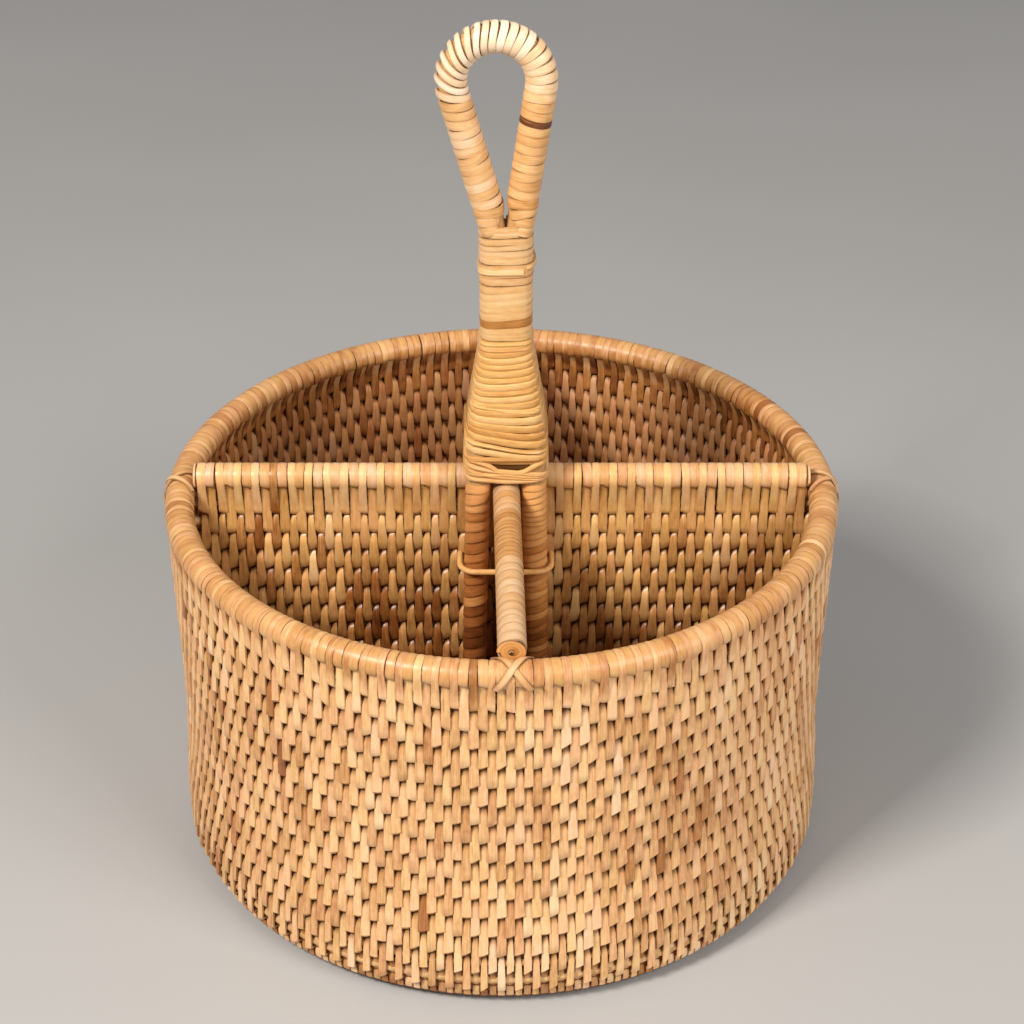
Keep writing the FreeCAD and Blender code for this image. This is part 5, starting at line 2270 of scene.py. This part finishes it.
# Peel on the rails, a little paler.
RAIL_PEEL = PeelFinish("rattan_peel_rail", deep="6A3514", brown="A0642C", honey="CC9B64", pale="E2CDB4",
                       roughness=0.4, coat=0.12)
# Peel wound on the shaft and the bands.
HANDLE_PEEL = PeelFinish("rattan_peel_handle", deep="7A4416", brown="B87F42", honey="DCAE75", pale="E9D2AA",
                         roughness=0.38, coat=0.15, grain=0.7)
# Peel wound on the loop; its pale tone serves the painted highlight on the loop's top.
LOOP_PEEL = PeelFinish("rattan_peel_loop", deep="5C3014", brown="B9803F", honey="DFB37F", pale="F0DFCD",
                       roughness=0.42, coat=0.1, grain=0.6)
# Round cane of the neck.
NECK_CANE = PeelFinish("rattan_cane_neck", deep="6A350C", brown="AA6F35", honey="D5A565", pale="E9CCA2",
                       crevice_shade="2A1204", roughness=0.36, coat=0.2, grain=0.6)
# Peel wound on the legs, darker, with dark turn edges as painted shade between the turns.
LEG_PEEL = PeelFinish("rattan_peel_leg", deep="3A1808", brown="7C461F", honey="B2753B", pale="DDA465",
                      crevice_shade="241004", roughness=0.36, coat=0.3, grain=0.6, edge_shade=0.6)
# Lashings: newer, flatter peel, with dark edges as painted shade.
LASHING_PEEL = PeelFinish("rattan_peel_lashing", deep="7A4A28", brown="A9713F", honey="D0A06C", pale="E2BC8E",
                          roughness=0.5, coat=0.05, edge_shade=0.6)
# Rattan poles, hoops and ribs: bare pith cane.
BARE_POLE = PoleFinish("rattan_pole_bare", pale="D9B27C", brown="A87442")
# Leg ties: round cane.
TIE_CANE = PoleFinish("rattan_cane_tie", pale="EBB878", brown="C4884A", roughness=0.42)


# ---------------------------------------------------------------- studio
@dataclass(frozen=True)
class Studio:
    """Pale floor, soft lamps and the camera."""

    camera_place: tuple[float, float, float] = (0.0, -0.7686, 0.6069)
    pitch_deg: float = 31.6
    lens: float = 84.375
    shift_x: float = 0.01025
    floor_colour: str = "A6A5A4"

    def floor(self) -> None:
        """Lay the floor: matt painted board."""
        mesh = bpy.data.meshes.new("floor")
        bm = bmesh.new()
        bmesh.ops.create_grid(bm, x_segments=8, y_segments=8, size=6.0)
        bm.to_mesh(mesh)
        bm.free()
        plane = add_object("floor", mesh)
        plane.location = (0, 0, float(CAD_LOW[2]) - 0.0002)
        material, nodes = new_material("matt_board")
        place = nodes.add("TexCoord").outputs["Object"]
        mottle = nodes.add("TexNoise", {0: place, "Scale": 3.0, "Detail": 2.0}).outputs["Fac"]
        colour = nodes.ramp(mottle, ((0.3, self.floor_colour), (0.7, "ABAAA9")))
        board = {"Base Color": colour, "Roughness": 0.7, "Specular IOR Level": 0.15}
        shader = nodes.add("BsdfPrincipled", board)
        nodes.add("OutputMaterial", {0: shader.outputs[0]})
        mesh.materials.append(material)
        plane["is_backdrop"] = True

    def lamp(
        self, name: str, place: tuple[float, float, float], size: float, power: float, code: str,
    ) -> None:
        """Hang a square soft lamp that faces the basket.

        Args:
            name: The lamp's name.
            place: Where it hangs, in metres.
            size: Its side in metres.
            power: Its power in watts.
            code: Its colour.
        """
        light = bpy.data.lights.new(name, "AREA")
        light.shape = "SQUARE"
        light.size = size
        light.energy = power
        light.color = linear(code)[:3]
        lamp = add_object(name, light)
        lamp.location = place
        lamp.rotation_euler = (Vector((0.0, 0.0, 0.1)) - Vector(place)).to_track_quat("-Z", "Y").to_euler()
        lamp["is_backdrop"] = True

    def build(self) -> None:
        """Set up the floor, the lamps, the world and the camera."""
        bpy.context.scene.view_settings.view_transform = "Standard"
        self.floor()
        self.lamp("key", (-0.80, -0.85, 1.35), 0.40, 33.0, "FFF9F0")
        self.lamp("fill", (0.95, -0.95, 1.05), 0.8, 17.0, "FFFBF6")
        world = bpy.data.worlds.new("studio")
        world.use_nodes = True
        background = world.node_tree.nodes["Background"]
        background.inputs[0].default_value = linear("E8E8EA")
        background.inputs[1].default_value = 0.36
        bpy.context.scene.world = world
        data = bpy.data.cameras.new("camera")
        data.lens = self.lens
        data.sensor_width = 36.0
        data.shift_x = self.shift_x
        camera = add_object("camera", data)
        camera.location = self.camera_place
        camera.rotation_euler = (math.radians(90 - self.pitch_deg), 0.0, 0.0)
        bpy.context.scene.camera = camera


@dataclass
class Caddy:
    """The whole caddy."""

    def build(self) -> None:
        """Make every piece and dress the CAD nodes that stay in sight."""
        weave, divider, binding = WEAVE_PEEL.build(), DIVIDER_PEEL.build(), BINDING_PEEL.build()
        rail = RAIL_PEEL.build()
        profile, sectors = WallProfile.read(), read_sectors()
        BasketWall(profile, sectors, weave).build()
        Rim(profile, sectors, binding, weave).build()
        BaseWeave(divider).build()
        for number, name in enumerate(("cross", "front", "back")):
            panel = Panel(name, 201 + 10 * number, folded=name == "cross")
            panel.build(divider)
            if panel.folded:
                panel.border(rail, divider)
        legs = LEG_PEEL.build()
        WoundRail("front", -1, rail, legs, 301).build()
        WoundRail("back", 1, rail, legs, 311).build()
        # The right legs' tone shifts are painted light against the shadow that the front rail casts on them.
        for number, (name, pitch, shift) in enumerate((
            ("front_left", 4.5, 0.0), ("front_right", 2.9, 0.20),
            ("rear_left", 4.0, 0.0), ("rear_right", 4.0, 0.1),
        )):
            Leg(name, pitch, shift, legs, 321 + number).build()
        Handle(HANDLE_PEEL.build(), NECK_CANE.build(), LOOP_PEEL.build()).build()
        section = read_fold_section(profile)
        lashing = LASHING_PEEL.build()
        for number, name in enumerate(("front", "back", "left", "right")):
            Lashing(name, lashing, 341 + number).build(section)
        self.dress_kept()

    def dress_kept(self) -> None:
        """Give the CAD nodes that stay in sight their finishes."""
        pole, cane = BARE_POLE.build(), TIE_CANE.build()
        for name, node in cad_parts.items():
            if node.hide_render:
                continue
            node.data.materials.clear()
            node.data.materials.append(cane if name.endswith("_tie") else pole)


def main() -> None:
    """Build the scene."""
    logging.basicConfig(level=logging.INFO, format="%(name)s: %(message)s")
    Caddy().build()
    Studio().build()
    triangles = 0
    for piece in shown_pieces():
        piece.data.calc_loop_triangles()
        count = len(piece.data.loop_triangles)
        triangles += count
        LOG.info("%s: %d triangles", piece.name, count)
    LOG.info("%d triangles in all", triangles)


if __name__ == "__main__":
    main()
